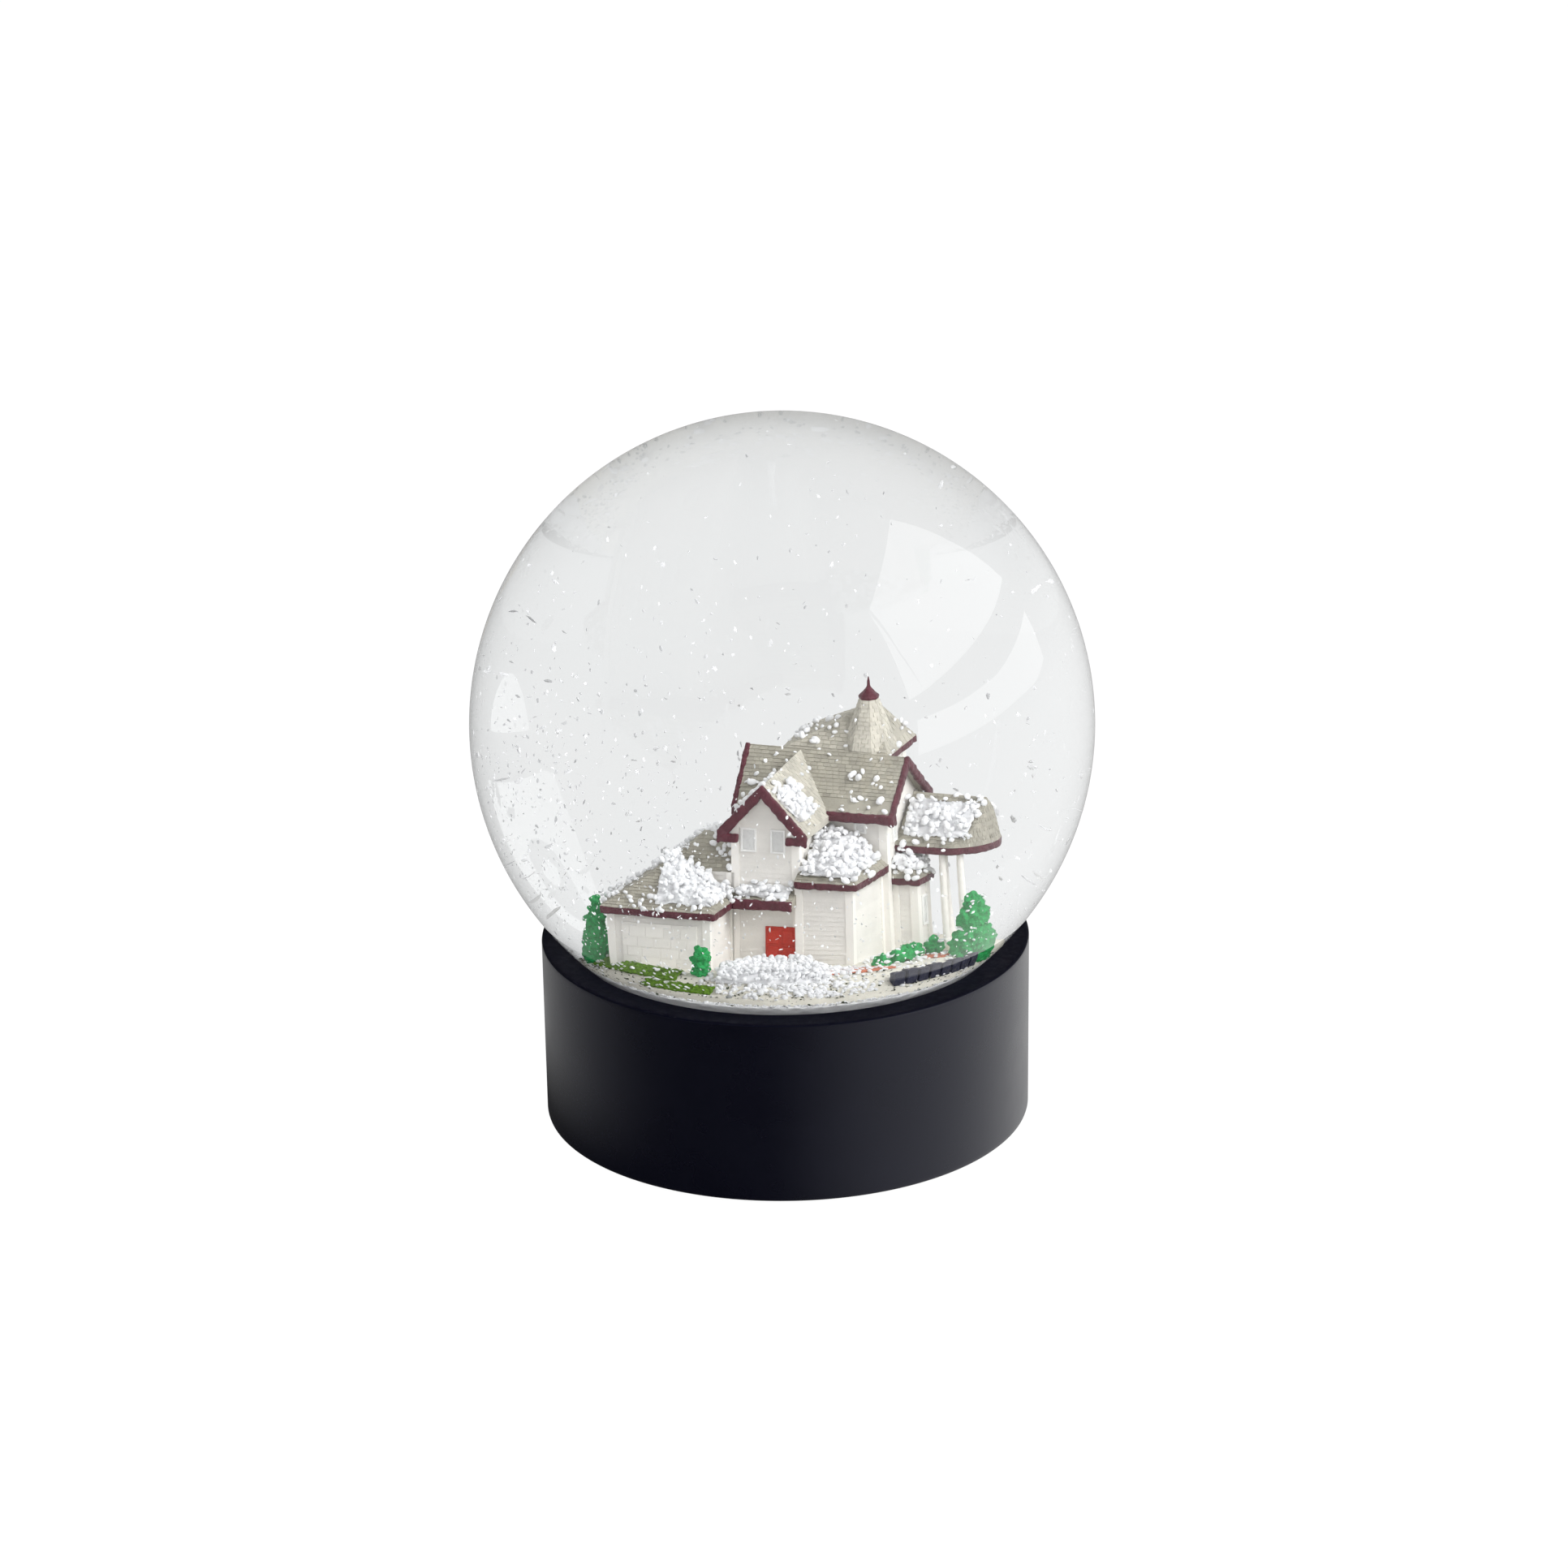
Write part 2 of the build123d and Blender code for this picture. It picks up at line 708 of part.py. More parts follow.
def turret_finial():
    """Faceted cap and spike on top of the turret."""
    cu, cv = TURRET_UV
    profile = ((0.0, 1.2), (0.35, 1.25), (0.8, 0.7), (1.3, 0.3))
    knob = None
    for (low, wide), (high, narrow) in zip(profile, profile[1:]):
        faces = []
        for height, radius in ((low, wide), (high, narrow)):
            level = Plane.XY.offset(TURRET_TOP_W + height) * Pos(cu, cv)
            faces.append(level * RegularPolygon(radius, 8, rotation=22.5))
        piece = loft(faces, ruled=True)
        knob = piece if knob is None else knob + piece
    spike = Pos(cu, cv, TURRET_TOP_W + 1.3) * Cone(0.26, 0.07, 1.3, align=LEVEL)
    return placed(knob + spike)


def window_places():
    """Windows as (wall, across, sill, width, height); the wall names the plane they sit on."""
    places = [("wing", -3.1, 13.3, 2.0, 3.0), ("wing", 0.6, 13.3, 1.9, 3.0)]
    places += [("main", 7.8, 13.9, 1.5, 1.4)]
    places += [("right", 7.4, 12.6, 1.3, 2.8)]
    places += [("side_bay", 8.0, 3.0, 1.4, 3.4), ("left", 8.4, 12.6, 1.4, 2.8)]
    places += [("rear", 0.6, 12.0, 1.5, 2.8), ("rear", 4.2, 12.0, 1.5, 2.8), ("rear", 6.8, 12.0, 1.5, 2.8)]
    places += [("rear", 0.6, 3.4, 1.5, 3.0), ("rear", 6.8, 3.4, 1.5, 3.0)]
    return places


def window_solid(wall, across, sill, width, height, low, high, inset):
    """Slab of a window on its wall, between two depths outward from the wall, drawn in by an inset."""
    span = (across - width / 2 + inset, across + width / 2 - inset)
    rise = (sill + inset, sill + height - inset)
    fronts = {"wing": WING_V[0], "main": MAIN_V[0]}
    rights = {"right": MAIN_U[1], "side_bay": SIDE_BAY_U[1]}
    if wall in fronts:
        return block(span, (fronts[wall] - high, fronts[wall] - low), rise)
    if wall in rights:
        return block((rights[wall] + low, rights[wall] + high), span, rise)
    if wall == "left":
        return block((MAIN_U[0] - high, MAIN_U[0] - low), span, rise)
    return block(span, (REAR_V[1] + low, REAR_V[1] + high), rise)


def window_frames():
    """Raised frames of all the windows."""
    group = None
    for place in window_places():
        frame = window_solid(*place, 0.0, 0.3, 0.0) - window_solid(*place, -0.1, 0.5, 0.25)
        group = frame if group is None else group + frame
    return placed(group)


def window_panes():
    """Panes inside the window frames."""
    group = None
    for place in window_places():
        pane = window_solid(*place, 0.0, 0.15, 0.25)
        group = pane if group is None else group + pane
    return placed(group)


# ---- snow and water ----


def snow_on(body, region, thick=SNOW_T):
    """Layer of settled snow on a roof body, inside a plan region."""
    return (Pos(0, 0, thick) * body & region) - body


def roof_snow():
    """Settled snow on the roofs, as plain layers."""
    tall = (0, 40)
    snow = snow_on(garage_roof_body(), block((-12.3, -4.8), (-14.8, -4.6), tall))
    snow += snow_on(bay_roof_body(), block((3.6, 10.6), (-5.4, 4.4), tall))
    snow += snow_on(side_bay_roof_body(), block((11.1, 14.2), (6.3, 9.7), tall))
    snow += snow_on(porch_body(), block((-3.9, 2.6), (-6.6, -4.1), tall))
    snow += snow_on(veranda_roof_body(), block((11.5, 20.0), (8.2, 11.4), tall))
    snow += snow_on(wing_roof_body(), block((0.4, 3.6), (-4.4, 2.0), tall))
    layer = placed(snow - wing_block() - main_block() - bay_eave_band() - bay_roof_body())
    return layer - veranda_fascia()


def ground_snow():
    """Settled snow: a drift before the door and a ring in the gutter around the ground."""
    low = GROUND_Z - MOUND_H + 0.2
    gutter = disc(BALL_R, low, low + 4.2) & Pos(0, 0, BALL_Z) * Sphere(BALL_R - GLASS_WALL - 0.2)
    gutter -= disc(MOUND_R, low - 1, low + 10)
    drift = ground_layer(1.1, sector(10.5, 24.2, 246, 284))
    walls = (garage_walls(), bay_walls(), small_fir(), lawn_patches(), garden_path())
    for other in walls:
        drift -= other
    return gutter + drift


def is_open_water(x, y, z, margin):
    """True where a flake can circle the axis clear of the scene and the glass."""
    radius = math.hypot(x, y)
    if math.hypot(radius, z - BALL_Z) > WATER_R - margin:
        return False
    if z < GROUND_Z + LOW_CLEAR_TOP + margin:
        return radius > LOW_CLEAR_R + margin and z > GROUND_Z + margin
    return radius > HIGH_CLEAR_R + margin or z > GROUND_Z + HIGH_CLEAR_TOP + margin


def water():
    """Water that circles with the flakes, clear of the scene it flows around."""
    fill = Pos(0, 0, BALL_Z) * Sphere(WATER_R)
    fill -= disc(BALL_R, BALL_Z - BALL_R - 1, GROUND_Z)
    fill -= disc(LOW_CLEAR_R, GROUND_Z - 1, GROUND_Z + LOW_CLEAR_TOP)
    return fill - disc(HIGH_CLEAR_R, GROUND_Z - 1, GROUND_Z + HIGH_CLEAR_TOP)


def floating_flakes():
    """Loose snow flakes spread through the open water."""
    rng = random.Random(11)
    flakes = []
    places = []
    while len(flakes) < FLAKE_COUNT:
        x, y, z = [rng.uniform(-WATER_R, WATER_R) for _ in range(3)]
        place = (x, y, z + BALL_Z)
        near = [p for p in places if math.dist(p, place) < 2 * FLAKE_SIZE]
        if near or not is_open_water(*place, 1.2 * FLAKE_SIZE):
            continue
        chip = extrude(RegularPolygon(FLAKE_SIZE / 2, 6), amount=FLAKE_T)
        turn = Rot(rng.uniform(0, 180), rng.uniform(0, 180), 0)
        flakes.append(Pos(*place) * turn * chip)
        places.append(place)
    return Compound(children=flakes)


PARTS = [
    base_shell, bottom_plate, felt_pad, globe_adhesive, glass_globe, rubber_stopper, filler_plug,
    scene_adhesive, ground_mound, lawn_patches, garden_path, edging_stones, hedges, left_tree,
    right_tree, small_fir, garage_walls, garage_door, garage_roof, garage_fascia, link_walls,
    link_roof, entrance_walls, front_door, porch_roof, porch_fascia, front_gable_roof,
    front_gable_bargeboard, main_walls, main_roof, main_bargeboards, bay_walls, bay_roof,
    bay_fascia, side_bay_walls, side_bay_roof, side_bay_fascia, veranda_deck, veranda_columns,
    veranda_roof, veranda_fascia, rear_walls, rear_roof, rear_fascia, turret_roof, turret_finial,
    window_frames, window_panes, ground_snow, roof_snow, water, floating_flakes,
]

os.makedirs("parts", exist_ok=True)
for make in PARTS:
    export_step(make(), f"parts/{make.__name__}.step")
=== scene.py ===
"""Snow globe with a painted cast house: finished shapes and surfaces for the packed pieces."""

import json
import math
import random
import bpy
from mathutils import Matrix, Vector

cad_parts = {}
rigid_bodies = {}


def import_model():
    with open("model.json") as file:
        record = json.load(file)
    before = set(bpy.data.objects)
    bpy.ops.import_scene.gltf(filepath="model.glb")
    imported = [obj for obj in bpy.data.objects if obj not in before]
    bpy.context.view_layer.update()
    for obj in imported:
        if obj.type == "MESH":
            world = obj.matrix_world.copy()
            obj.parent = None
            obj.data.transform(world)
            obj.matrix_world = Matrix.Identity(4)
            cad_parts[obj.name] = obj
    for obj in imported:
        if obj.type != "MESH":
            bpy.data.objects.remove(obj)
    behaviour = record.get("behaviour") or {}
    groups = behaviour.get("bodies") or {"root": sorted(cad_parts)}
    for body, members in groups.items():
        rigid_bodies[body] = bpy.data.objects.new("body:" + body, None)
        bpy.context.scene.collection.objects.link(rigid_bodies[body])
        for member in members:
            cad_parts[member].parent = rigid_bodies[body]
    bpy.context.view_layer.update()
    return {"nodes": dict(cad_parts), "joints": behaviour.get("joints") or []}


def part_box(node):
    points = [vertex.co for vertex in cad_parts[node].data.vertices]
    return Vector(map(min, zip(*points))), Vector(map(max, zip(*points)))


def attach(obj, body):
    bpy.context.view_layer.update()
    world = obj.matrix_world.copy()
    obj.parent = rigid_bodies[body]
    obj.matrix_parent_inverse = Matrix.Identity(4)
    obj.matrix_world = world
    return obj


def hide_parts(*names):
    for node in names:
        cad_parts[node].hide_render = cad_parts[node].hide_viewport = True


bl_info = {
    "name": "Snow Globe House",
    "version": (1, 0, 0),
    "blender": (4, 5, 0),
    "location": "View3D > Sidebar > Snow Globe",
    "description": "Builds the finished snow globe on the packed CAD model",
    "category": "Object",
}

import bmesh
import bpy
import numpy as np
from bpy.props import FloatProperty, FloatVectorProperty, IntProperty, PointerProperty
from mathutils import Euler, Matrix, Vector, noise

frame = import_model()

MM = 0.001
SWIRL = frame["joints"][0]["child"]
STILL = frame["joints"][0]["parent"]

WALLS = (
    "garage_walls", "link_walls", "entrance_walls", "main_walls", "bay_walls", "side_bay_walls", "rear_walls",
)
ROOFS = (
    "garage_roof", "link_roof", "porch_roof", "main_roof", "bay_roof", "side_bay_roof", "veranda_roof",
    "rear_roof",
)
TRIMS = (
    "garage_fascia", "porch_fascia", "front_gable_bargeboard", "main_bargeboards", "bay_fascia",
    "side_bay_fascia", "veranda_fascia", "rear_fascia",
)

GABLE_BOARDS = ("front_gable_bargeboard", "main_bargeboards")

# The yard is level out to this radius in mm, then falls by this much per mm.
YARD_REACH = 22.0
YARD_FALL = 0.62
BAND_BITS = 3200

# Outlines of the window panes as (heading to the right of the camera's side, height) in degrees.
WINDOW_PANES = (
    ((121, 56), (120, 39), (121, 22), (102, 24), (80, 24), (56, 21), (53, 36), (52, 52)),
    ((50, 51), (53, 32), (56, 21), (49, 20), (49, 31)),
    ((119, 14), (116, 4), (108, 3), (90, 4), (68, 3), (48, 2), (50, 13), (68, 13), (89, 13), (103, 14)),
)
FAR_PANES = tuple(
    ((left, low), (left + 2.6, low), (left + 2.6, low + 5), (left, low + 5))
    for left in (26, 30, 34)
    for low in (-6, 1)
)


# ---- settings ----


def colour(name, description, value):
    """Colour setting."""
    return FloatVectorProperty(
        name=name, description=description, default=value, size=3, min=0, max=1, subtype="COLOR"
    )


def length(name, description, value):
    """Length setting in metres."""
    return FloatProperty(name=name, description=description, default=value, min=0, unit="LENGTH", precision=5)


def angle(name, description, degrees):
    """Angle setting, given in degrees."""
    return FloatProperty(name=name, description=description, default=math.radians(degrees), subtype="ANGLE")


class GlobeSettings(bpy.types.PropertyGroup):
    """Base, glass and water."""

    base_colour: colour("Base", "Satin black of the base", (0.0015, 0.0016, 0.0045))
    felt_colour: colour("Felt", "Felt under the base", (0.012, 0.012, 0.014))
    rubber_colour: colour("Rubber", "Stopper and filler plug", (0.02, 0.02, 0.021))
    base_wall: length("Base wall", "Thickness of the base's side", 0.003)
    rim_edge: length("Rim edge", "Width of the bevel on the base's rim", 0.0004)
    seat_gap: length("Seat gap", "Space between the rim and the ball", 0.00012)
    glass_wall: length("Glass wall", "Thickness of the glass", 0.002)
    neck_radius: length("Neck radius", "Outside radius of the glass neck", 0.031)
    lip_height: length("Lip height", "Height of the thick lip on the neck", 0.0016)
    water_overlap: length("Water overlap", "How far the water's skin lies inside the glass", 0.00005)
    glass_ior: FloatProperty(name="Glass IOR", description="Refractive index of the glass", default=1.5)
    water_ior: FloatProperty(name="Water IOR", description="Refractive index of the water", default=1.333)


class HouseSettings(bpy.types.PropertyGroup):
    """House, garden and ground."""

    wall_colour: colour("Walls", "Painted walls", (0.80, 0.775, 0.735))
    roof_colour: colour("Roofs", "Taupe shingles", (0.36, 0.34, 0.285))
    cream_colour: colour("Cream roofs", "Front gable and turret roofs", (0.53, 0.505, 0.44))
    trim_colour: colour("Trim", "Burgundy boards", (0.075, 0.015, 0.024))
    door_colour: colour("Door", "Red front door", (0.46, 0.035, 0.02))
    frame_colour: colour("Window frames", "Raised window frames", (0.86, 0.85, 0.83))
    pane_colour: colour("Window panes", "Panes in the frames", (0.67, 0.67, 0.66))
    foliage_colour: colour("Foliage", "Trees and hedges", (0.022, 0.32, 0.085))
    lawn_colour: colour("Lawn", "Grass strips", (0.10, 0.21, 0.012))
    path_colour: colour("Path", "Terracotta path", (0.50, 0.16, 0.085))
    stone_colour: colour("Stones", "Dark edging stones", (0.012, 0.013, 0.028))
    ground_colour: colour("Ground", "Cast ground", (0.74, 0.715, 0.63))
    edge_bevel: length("Edge bevel", "Softening of the cast edges", 0.00008)
    shingle_rise: length("Shingle course", "Height of one shingle course", 0.0005)
    shingle_width: length("Shingle width", "Width of one shingle", 0.00085)
    shingle_depth: length("Shingle depth", "Thickness of a shingle's lower edge", 0.00009)
    siding_rise: length("Siding course", "Height of one siding board", 0.0006)
    siding_depth: length("Siding depth", "Thickness of a board's lower edge", 0.0001)
    corner_width: length("Corner board", "Width of the boards at the wall corners", 0.0008)


class SnowSettings(bpy.types.PropertyGroup):
    """Flakes in the water and snow at rest."""

    snow_colour: colour("Snow", "Flakes and settled snow", (0.90, 0.905, 0.92))
    flake_count: IntProperty(name="Flakes", description="Flakes in the water", default=2400, min=0)
    flake_small: length("Smallest flake", "Smallest flake size", 0.00025)
    flake_large: length("Largest flake", "Largest flake size", 0.00068)
    chip_small: length("Smallest chip", "Smallest settled chip", 0.0005)
    chip_large: length("Largest chip", "Largest settled chip", 0.00115)
    seed: IntProperty(name="Seed", description="Seed of the snow's scatter", default=7)


class StageSettings(bpy.types.PropertyGroup):
    """Camera and light."""

    distance: length("Distance", "Camera distance from the ball's centre", 0.650)
    height: angle("Height", "Camera height above level", 19)
    roll: angle("Roll", "Camera roll", -0.87)
    tilt: angle("Tilt", "How far the camera looks below the ball's centre", 0.848)
    pan: angle("Pan", "How far the camera looks aside of the ball's centre", 0.026)
    lens: FloatProperty(name="Lens", description="Focal length in mm", default=93.17)
    key: FloatProperty(name="Key light", description="Strength of the key light in watts", default=5.0)
    window: FloatProperty(name="Window", description="Brightness of the windows in the glass", default=1.8)


# ---- finishes ----


class Nodes:
    """Short hand for wiring the nodes of one tree."""

    def __init__(self, tree):
        self.tree = tree
        tree.nodes.clear()

    def node(self, kind, **settings):
        """New node with its settings."""
        made = self.tree.nodes.new(kind)
        for key, value in settings.items():
            setattr(made, key, value)
        return made

    def fill(self, node, key, value):
        """Constant or link into a socket."""
        if isinstance(value, bpy.types.NodeSocket):
            self.tree.links.new(value, node.inputs[key])
        else:
            node.inputs[key].default_value = value

    def work_out(self, operation, *values, use_clamp=False):
        """Arithmetic on numbers."""
        made = self.node("ShaderNodeMath", operation=operation, use_clamp=use_clamp)
        for key, value in enumerate(values):
            self.fill(made, key, value)
        return made.outputs[0]

    def span(self, value, low, high, start=0.3, stop=0.7, **settings):
        """Number carried from one range to another."""
        made = self.node("ShaderNodeMapRange", **settings)
        for key, part in enumerate((value, start, stop, low, high)):
            self.fill(made, key, part)
        return made.outputs["Result"]

    def mix(self, factor, first, second):
        """Colour between two others."""
        made = self.node("ShaderNodeMix", data_type="RGBA")
        self.fill(made, 0, factor)
        for key, value in ((6, first), (7, second)):
            self.fill(made, key, value if isinstance(value, bpy.types.NodeSocket) else (*value, 1))
        return made.outputs[2]

    def blend(self, factor, first, second):
        """Shader between two others."""
        made = self.node("ShaderNodeMixShader")
        for key, value in enumerate((factor, first.outputs[0], second.outputs[0])):
            self.fill(made, key, value)
        return made


class Finish(Nodes):
    """Procedural material; its pattern is laid out in mm."""

    def __init__(self, name):
        self.material = bpy.data.materials.new(name)
        self.material.use_nodes = True
        super().__init__(self.material.node_tree)
        self.output = self.node("ShaderNodeOutputMaterial")
        coords = self.node("ShaderNodeTexCoord")
        scaled = self.node("ShaderNodeMapping")
        self.fill(scaled, "Vector", coords.outputs["Object"])
        self.fill(scaled, "Scale", (1000, 1000, 1000))
        self.place = scaled.outputs["Vector"]

    def noise(self, size, detail=4.0, roughness=0.55):
        """Noise whose features are about size mm across."""
        made = self.node("ShaderNodeTexNoise")
        self.fill(made, "Vector", self.place)
        self.fill(made, "Scale", 1 / size)
        self.fill(made, "Detail", detail)
        self.fill(made, "Roughness", roughness)
        return made.outputs["Fac"]

    def cells(self, size):
        """Random value per cell of about size mm."""
        made = self.node("ShaderNodeTexVoronoi")
        self.fill(made, "Vector", self.place)
        self.fill(made, "Scale", 1 / size)
        return made.outputs["Distance"]

    def tone(self):
        """Tone stored on the faces."""
        return self.node("ShaderNodeAttribute", attribute_name="tone").outputs["Fac"]

    def bump(self, height, depth, normal=None):
        """Surface relief of a depth in mm."""
        made = self.node("ShaderNodeBump")
        self.fill(made, "Height", height)
        self.fill(made, "Distance", depth * MM)
        if normal is not None:
            self.fill(made, "Normal", normal)
        return made.outputs["Normal"]

    def surface(self, **values):
        """Principled surface; keys use underscores for spaces."""
        made = self.node("ShaderNodeBsdfPrincipled")
        for key, value in values.items():
            self.fill(made, key.replace("_", " ").title().replace("Ior", "IOR"), value)
        self.show(made)
        return made

    def show(self, shader):
        """The shader that the piece shows."""
        self.fill(self.output, "Surface", shader.outputs[0])


def shade(value, factor):
    """Colour made lighter or darker."""
    return tuple(min(1.0, part * factor) for part in value)


def painted_finish(name, value, patch=2.2, grain=0.25, rough=(0.45, 0.7), depth=0.03, spread=0.14):
    """Hand-painted resin: uneven coat, fine grain and patchy sheen."""
    finish = Finish(name)
    broad = finish.noise(patch, 5)
    fine = finish.noise(grain, 3, 0.6)
    patches = finish.span(broad, 0, 1, 0.35, 0.65)
    coat = finish.mix(patches, shade(value, 1 - spread), shade(value, 1 + spread))
    worn = finish.mix(finish.span(fine, 0, 0.35, 0.45, 0.75), coat, shade(value, 1 + 2 * spread))
    tinted = finish.mix(finish.span(finish.tone(), 0, 0.55, 0, 1), worn, shade(value, 1.25))
    finish.surface(
        base_color=tinted,
        roughness=finish.span(fine, *rough),
        normal=finish.bump(fine, depth, finish.bump(broad, depth * 2)),
    )
    return finish.material


def shingle_finish(name, value):
    """Painted shingles whose tone changes from tile to tile."""
    finish = Finish(name)
    fine = finish.noise(0.18, 4, 0.65)
    broad = finish.noise(3.0, 3)
    tile = finish.mix(finish.tone(), shade(value, 0.85), shade(value, 1.15))
    dusty = finish.mix(finish.span(broad, 0, 0.4, 0.4, 0.7), tile, shade(value, 1.45))
    finish.surface(
        base_color=finish.mix(finish.span(fine, 0, 0.3, 0.5, 0.8), dusty, shade(value, 0.55)),
        roughness=finish.span(fine, 0.55, 0.85),
        normal=finish.bump(fine, 0.04),
    )
    return finish.material


def satin_finish(name, value, rough=(0.24, 0.33), depth=0.004):
    """Smooth satin moulding with a faint orange peel."""
    finish = Finish(name)
    peel = finish.noise(0.9, 2)
    smear = finish.noise(14.0, 4)
    finish.surface(
        base_color=finish.mix(finish.span(smear, 0, 1), shade(value, 0.85), shade(value, 1.2)),
        roughness=finish.span(smear, *rough),
        specular_ior_level=0.5,
        specular_tint=(0.86, 0.88, 1.0, 1),
        coat_weight=0.0,
        normal=finish.bump(peel, depth),
    )
    return finish.material


def rim_finish(name, value):
    """Matt black, with a little dust and wear."""
    finish = Finish(name)
    dust = finish.noise(1.1, 6, 0.7)
    finish.surface(
        base_color=finish.mix(finish.span(dust, 0, 0.3, 0.55, 0.8), shade(value, 1.3), (0.02, 0.018, 0.018)),
        roughness=finish.span(dust, 0.5, 0.7),
        specular_ior_level=0.05,
        normal=finish.bump(dust, 0.02),
    )
    return finish.material


def felt_finish(name, value):
    """Short matted fibres."""
    finish = Finish(name)
    fibres = finish.noise(0.12, 6, 0.8)
    finish.surface(
        base_color=finish.mix(fibres, shade(value, 0.6), shade(value, 2.0)),
        roughness=finish.span(fibres, 0.85, 1.0),
        sheen_weight=0.4,
        normal=finish.bump(fibres, 0.12),
    )
    return finish.material


def rubber_finish(name, value):
    """Dull moulded rubber."""
    finish = Finish(name)
    bloom = finish.noise(3.5, 4)
    finish.surface(
        base_color=finish.mix(bloom, shade(value, 0.7), shade(value, 1.8)),
        roughness=finish.span(bloom, 0.55, 0.8),
        normal=finish.bump(finish.noise(0.3, 3), 0.02),
    )
    return finish.material


def let_shadows_pass(finish, shader, strength=1.0):
    """Light from the lamps goes straight through the clear piece."""
    ray = finish.node("ShaderNodeLightPath")
    clear = finish.node("ShaderNodeBsdfTransparent")
    finish.fill(clear, "Color", (strength, strength, strength, 1))
    finish.show(finish.blend(ray.outputs["Is Shadow Ray"], shader, clear))


def glass_finish(name, ior):
    """Clear blown glass with a very slight waviness."""
    finish = Finish(name)
    wave = finish.noise(26.0, 1)
    shader = finish.surface(
        base_color=finish.mix(wave, (0.985, 0.99, 0.99), (1.0, 1.0, 1.0)),
        roughness=0.0,
        transmission_weight=1.0,
        ior=ior,
        normal=finish.bump(wave, 0.05),
    )
    let_shadows_pass(finish, shader, 0.97)
    return finish.material


def inner_finish(name, ior, tint):
    """Clear skin that only bends light, where two clear materials touch."""
    finish = Finish(name)
    haze = finish.noise(20.0, 2)
    bend = finish.node("ShaderNodeBsdfRefraction")
    finish.fill(bend, "Color", finish.mix(haze, tint, (1, 1, 1)))
    finish.fill(bend, "Roughness", 0.0)
    finish.fill(bend, "IOR", ior)
    gloss = finish.node("ShaderNodeBsdfGlossy")
    finish.fill(gloss, "Roughness", 0.02)
    let_shadows_pass(finish, finish.blend(0.004, bend, gloss))
    return finish.material


def adhesive_finish(name):
    """Cured adhesive, milky and slightly yellow."""
    finish = Finish(name)
    cloud = finish.noise(2.5, 5)
    finish.surface(
        base_color=finish.mix(cloud, (0.55, 0.53, 0.46), (0.75, 0.73, 0.66)),
        roughness=finish.span(cloud, 0.15, 0.4),
        transmission_weight=0.3,
        normal=finish.bump(cloud, 0.1),
    )
    return finish.material


def foliage_finish(name, value):
    """Flocked foliage, with painted shade in the hollows of its relief."""
    finish = Finish(name)
    tufts = finish.noise(0.5, 5, 0.7)
    broad = finish.noise(1.8, 3)
    # Painted shade: the colour darkens where the tufts' relief is low, in its hollows.
    leaf = finish.mix(finish.span(tufts, 0, 1, 0.35, 0.65), shade(value, 0.45), shade(value, 1.6))
    finish.surface(
        base_color=finish.mix(finish.span(broad, 0, 0.5), leaf, shade(value, 1.1)),
        roughness=finish.span(tufts, 0.5, 0.85),
        normal=finish.bump(tufts, 0.2),
    )
    return finish.material


def ground_finish(name, value):
    """Cream ground paint with dark specks."""
    finish = Finish(name)
    broad = finish.noise(4.0, 5)
    specks = finish.cells(0.9)
    paint = finish.mix(broad, shade(value, 0.85), shade(value, 1.15))
    finish.surface(
        base_color=finish.mix(finish.span(specks, 1, 0, 0.06, 0.14), paint, (0.03, 0.035, 0.02)),
        roughness=finish.span(broad, 0.6, 0.9),
        normal=finish.bump(finish.noise(0.4, 4), 0.1),
    )
    return finish.material


def snow_finish(name, value):
    """White plastic snow; the tone makes the white greyer or whiter from bit to bit, and low tones paint
    shade: greyer snow under and between the chips, and near-black bits that stand for shaded gaps between
    chips.
    """
    finish = Finish(name)
    fine = finish.noise(0.3, 3)
    tone = finish.tone()
    body = finish.mix(finish.span(tone, 0, 1, 0.0, 1.0), shade(value, 0.86), shade(value, 1.03))
    # Painted shade: the lowest tones turn a bit near black, standing for a shaded gap between chips.
    shaded_gap_bits = finish.mix(finish.span(tone, 1, 0, 0.03, 0.035), body, (0.04, 0.055, 0.025))
    finish.surface(
        base_color=shaded_gap_bits,
        roughness=finish.span(fine, 0.25, 0.5),
        normal=finish.bump(fine, 0.03),
    )
    return finish.material


# ---- shapes ----


class Pile:
    """Points, faces and a tone per face, in mm, gathered for one object."""

    def __init__(self):
        self.points = []
        self.faces = []
        self.tones = []
        self.count = 0

    def add(self, points, faces, tone=0.5):
        """More geometry of one tone."""
        self.points.append(np.asarray(points, float).reshape(-1, 3))
        self.faces.extend(tuple(self.count + k for k in face) for face in faces)
        self.tones.extend([tone] * len(faces))
        self.count += len(points)

    def add_bmesh(self, bm, tone=0.5):
        """The faces of a bmesh."""
        bm.verts.index_update()
        self.add([tuple(v.co) for v in bm.verts], [[v.index for v in f.verts] for f in bm.faces], tone)
        bm.free()

    def make(self, name, material, smooth=None):
        """The object, in metres."""
        mesh = bpy.data.meshes.new(name)
        mesh.from_pydata((np.concatenate(self.points) * MM).tolist(), [], self.faces)
        tone = mesh.attributes.new("tone", "FLOAT", "FACE")
        tone.data.foreach_set("value", np.array(self.tones, np.float32))
        mesh.materials.append(material)
        if smooth is not None:
            mesh.polygons.foreach_set("use_smooth", [True] * len(mesh.polygons))
            mesh.set_sharp_from_angle(angle=math.radians(smooth))
        made = bpy.data.objects.new(name, mesh)
        bpy.context.collection.objects.link(made)
        return made


def settle(piece, nodes=(), body=STILL):
    """The piece takes its body, and the CAD pieces it stands for are hidden."""
    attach(piece, body)
    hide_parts(*nodes)
    return piece


def dress(node, material):
    """A CAD piece shown as it is, with its finish."""
    piece = frame["nodes"][node]
    piece.data.materials.clear()
    piece.data.materials.append(material)


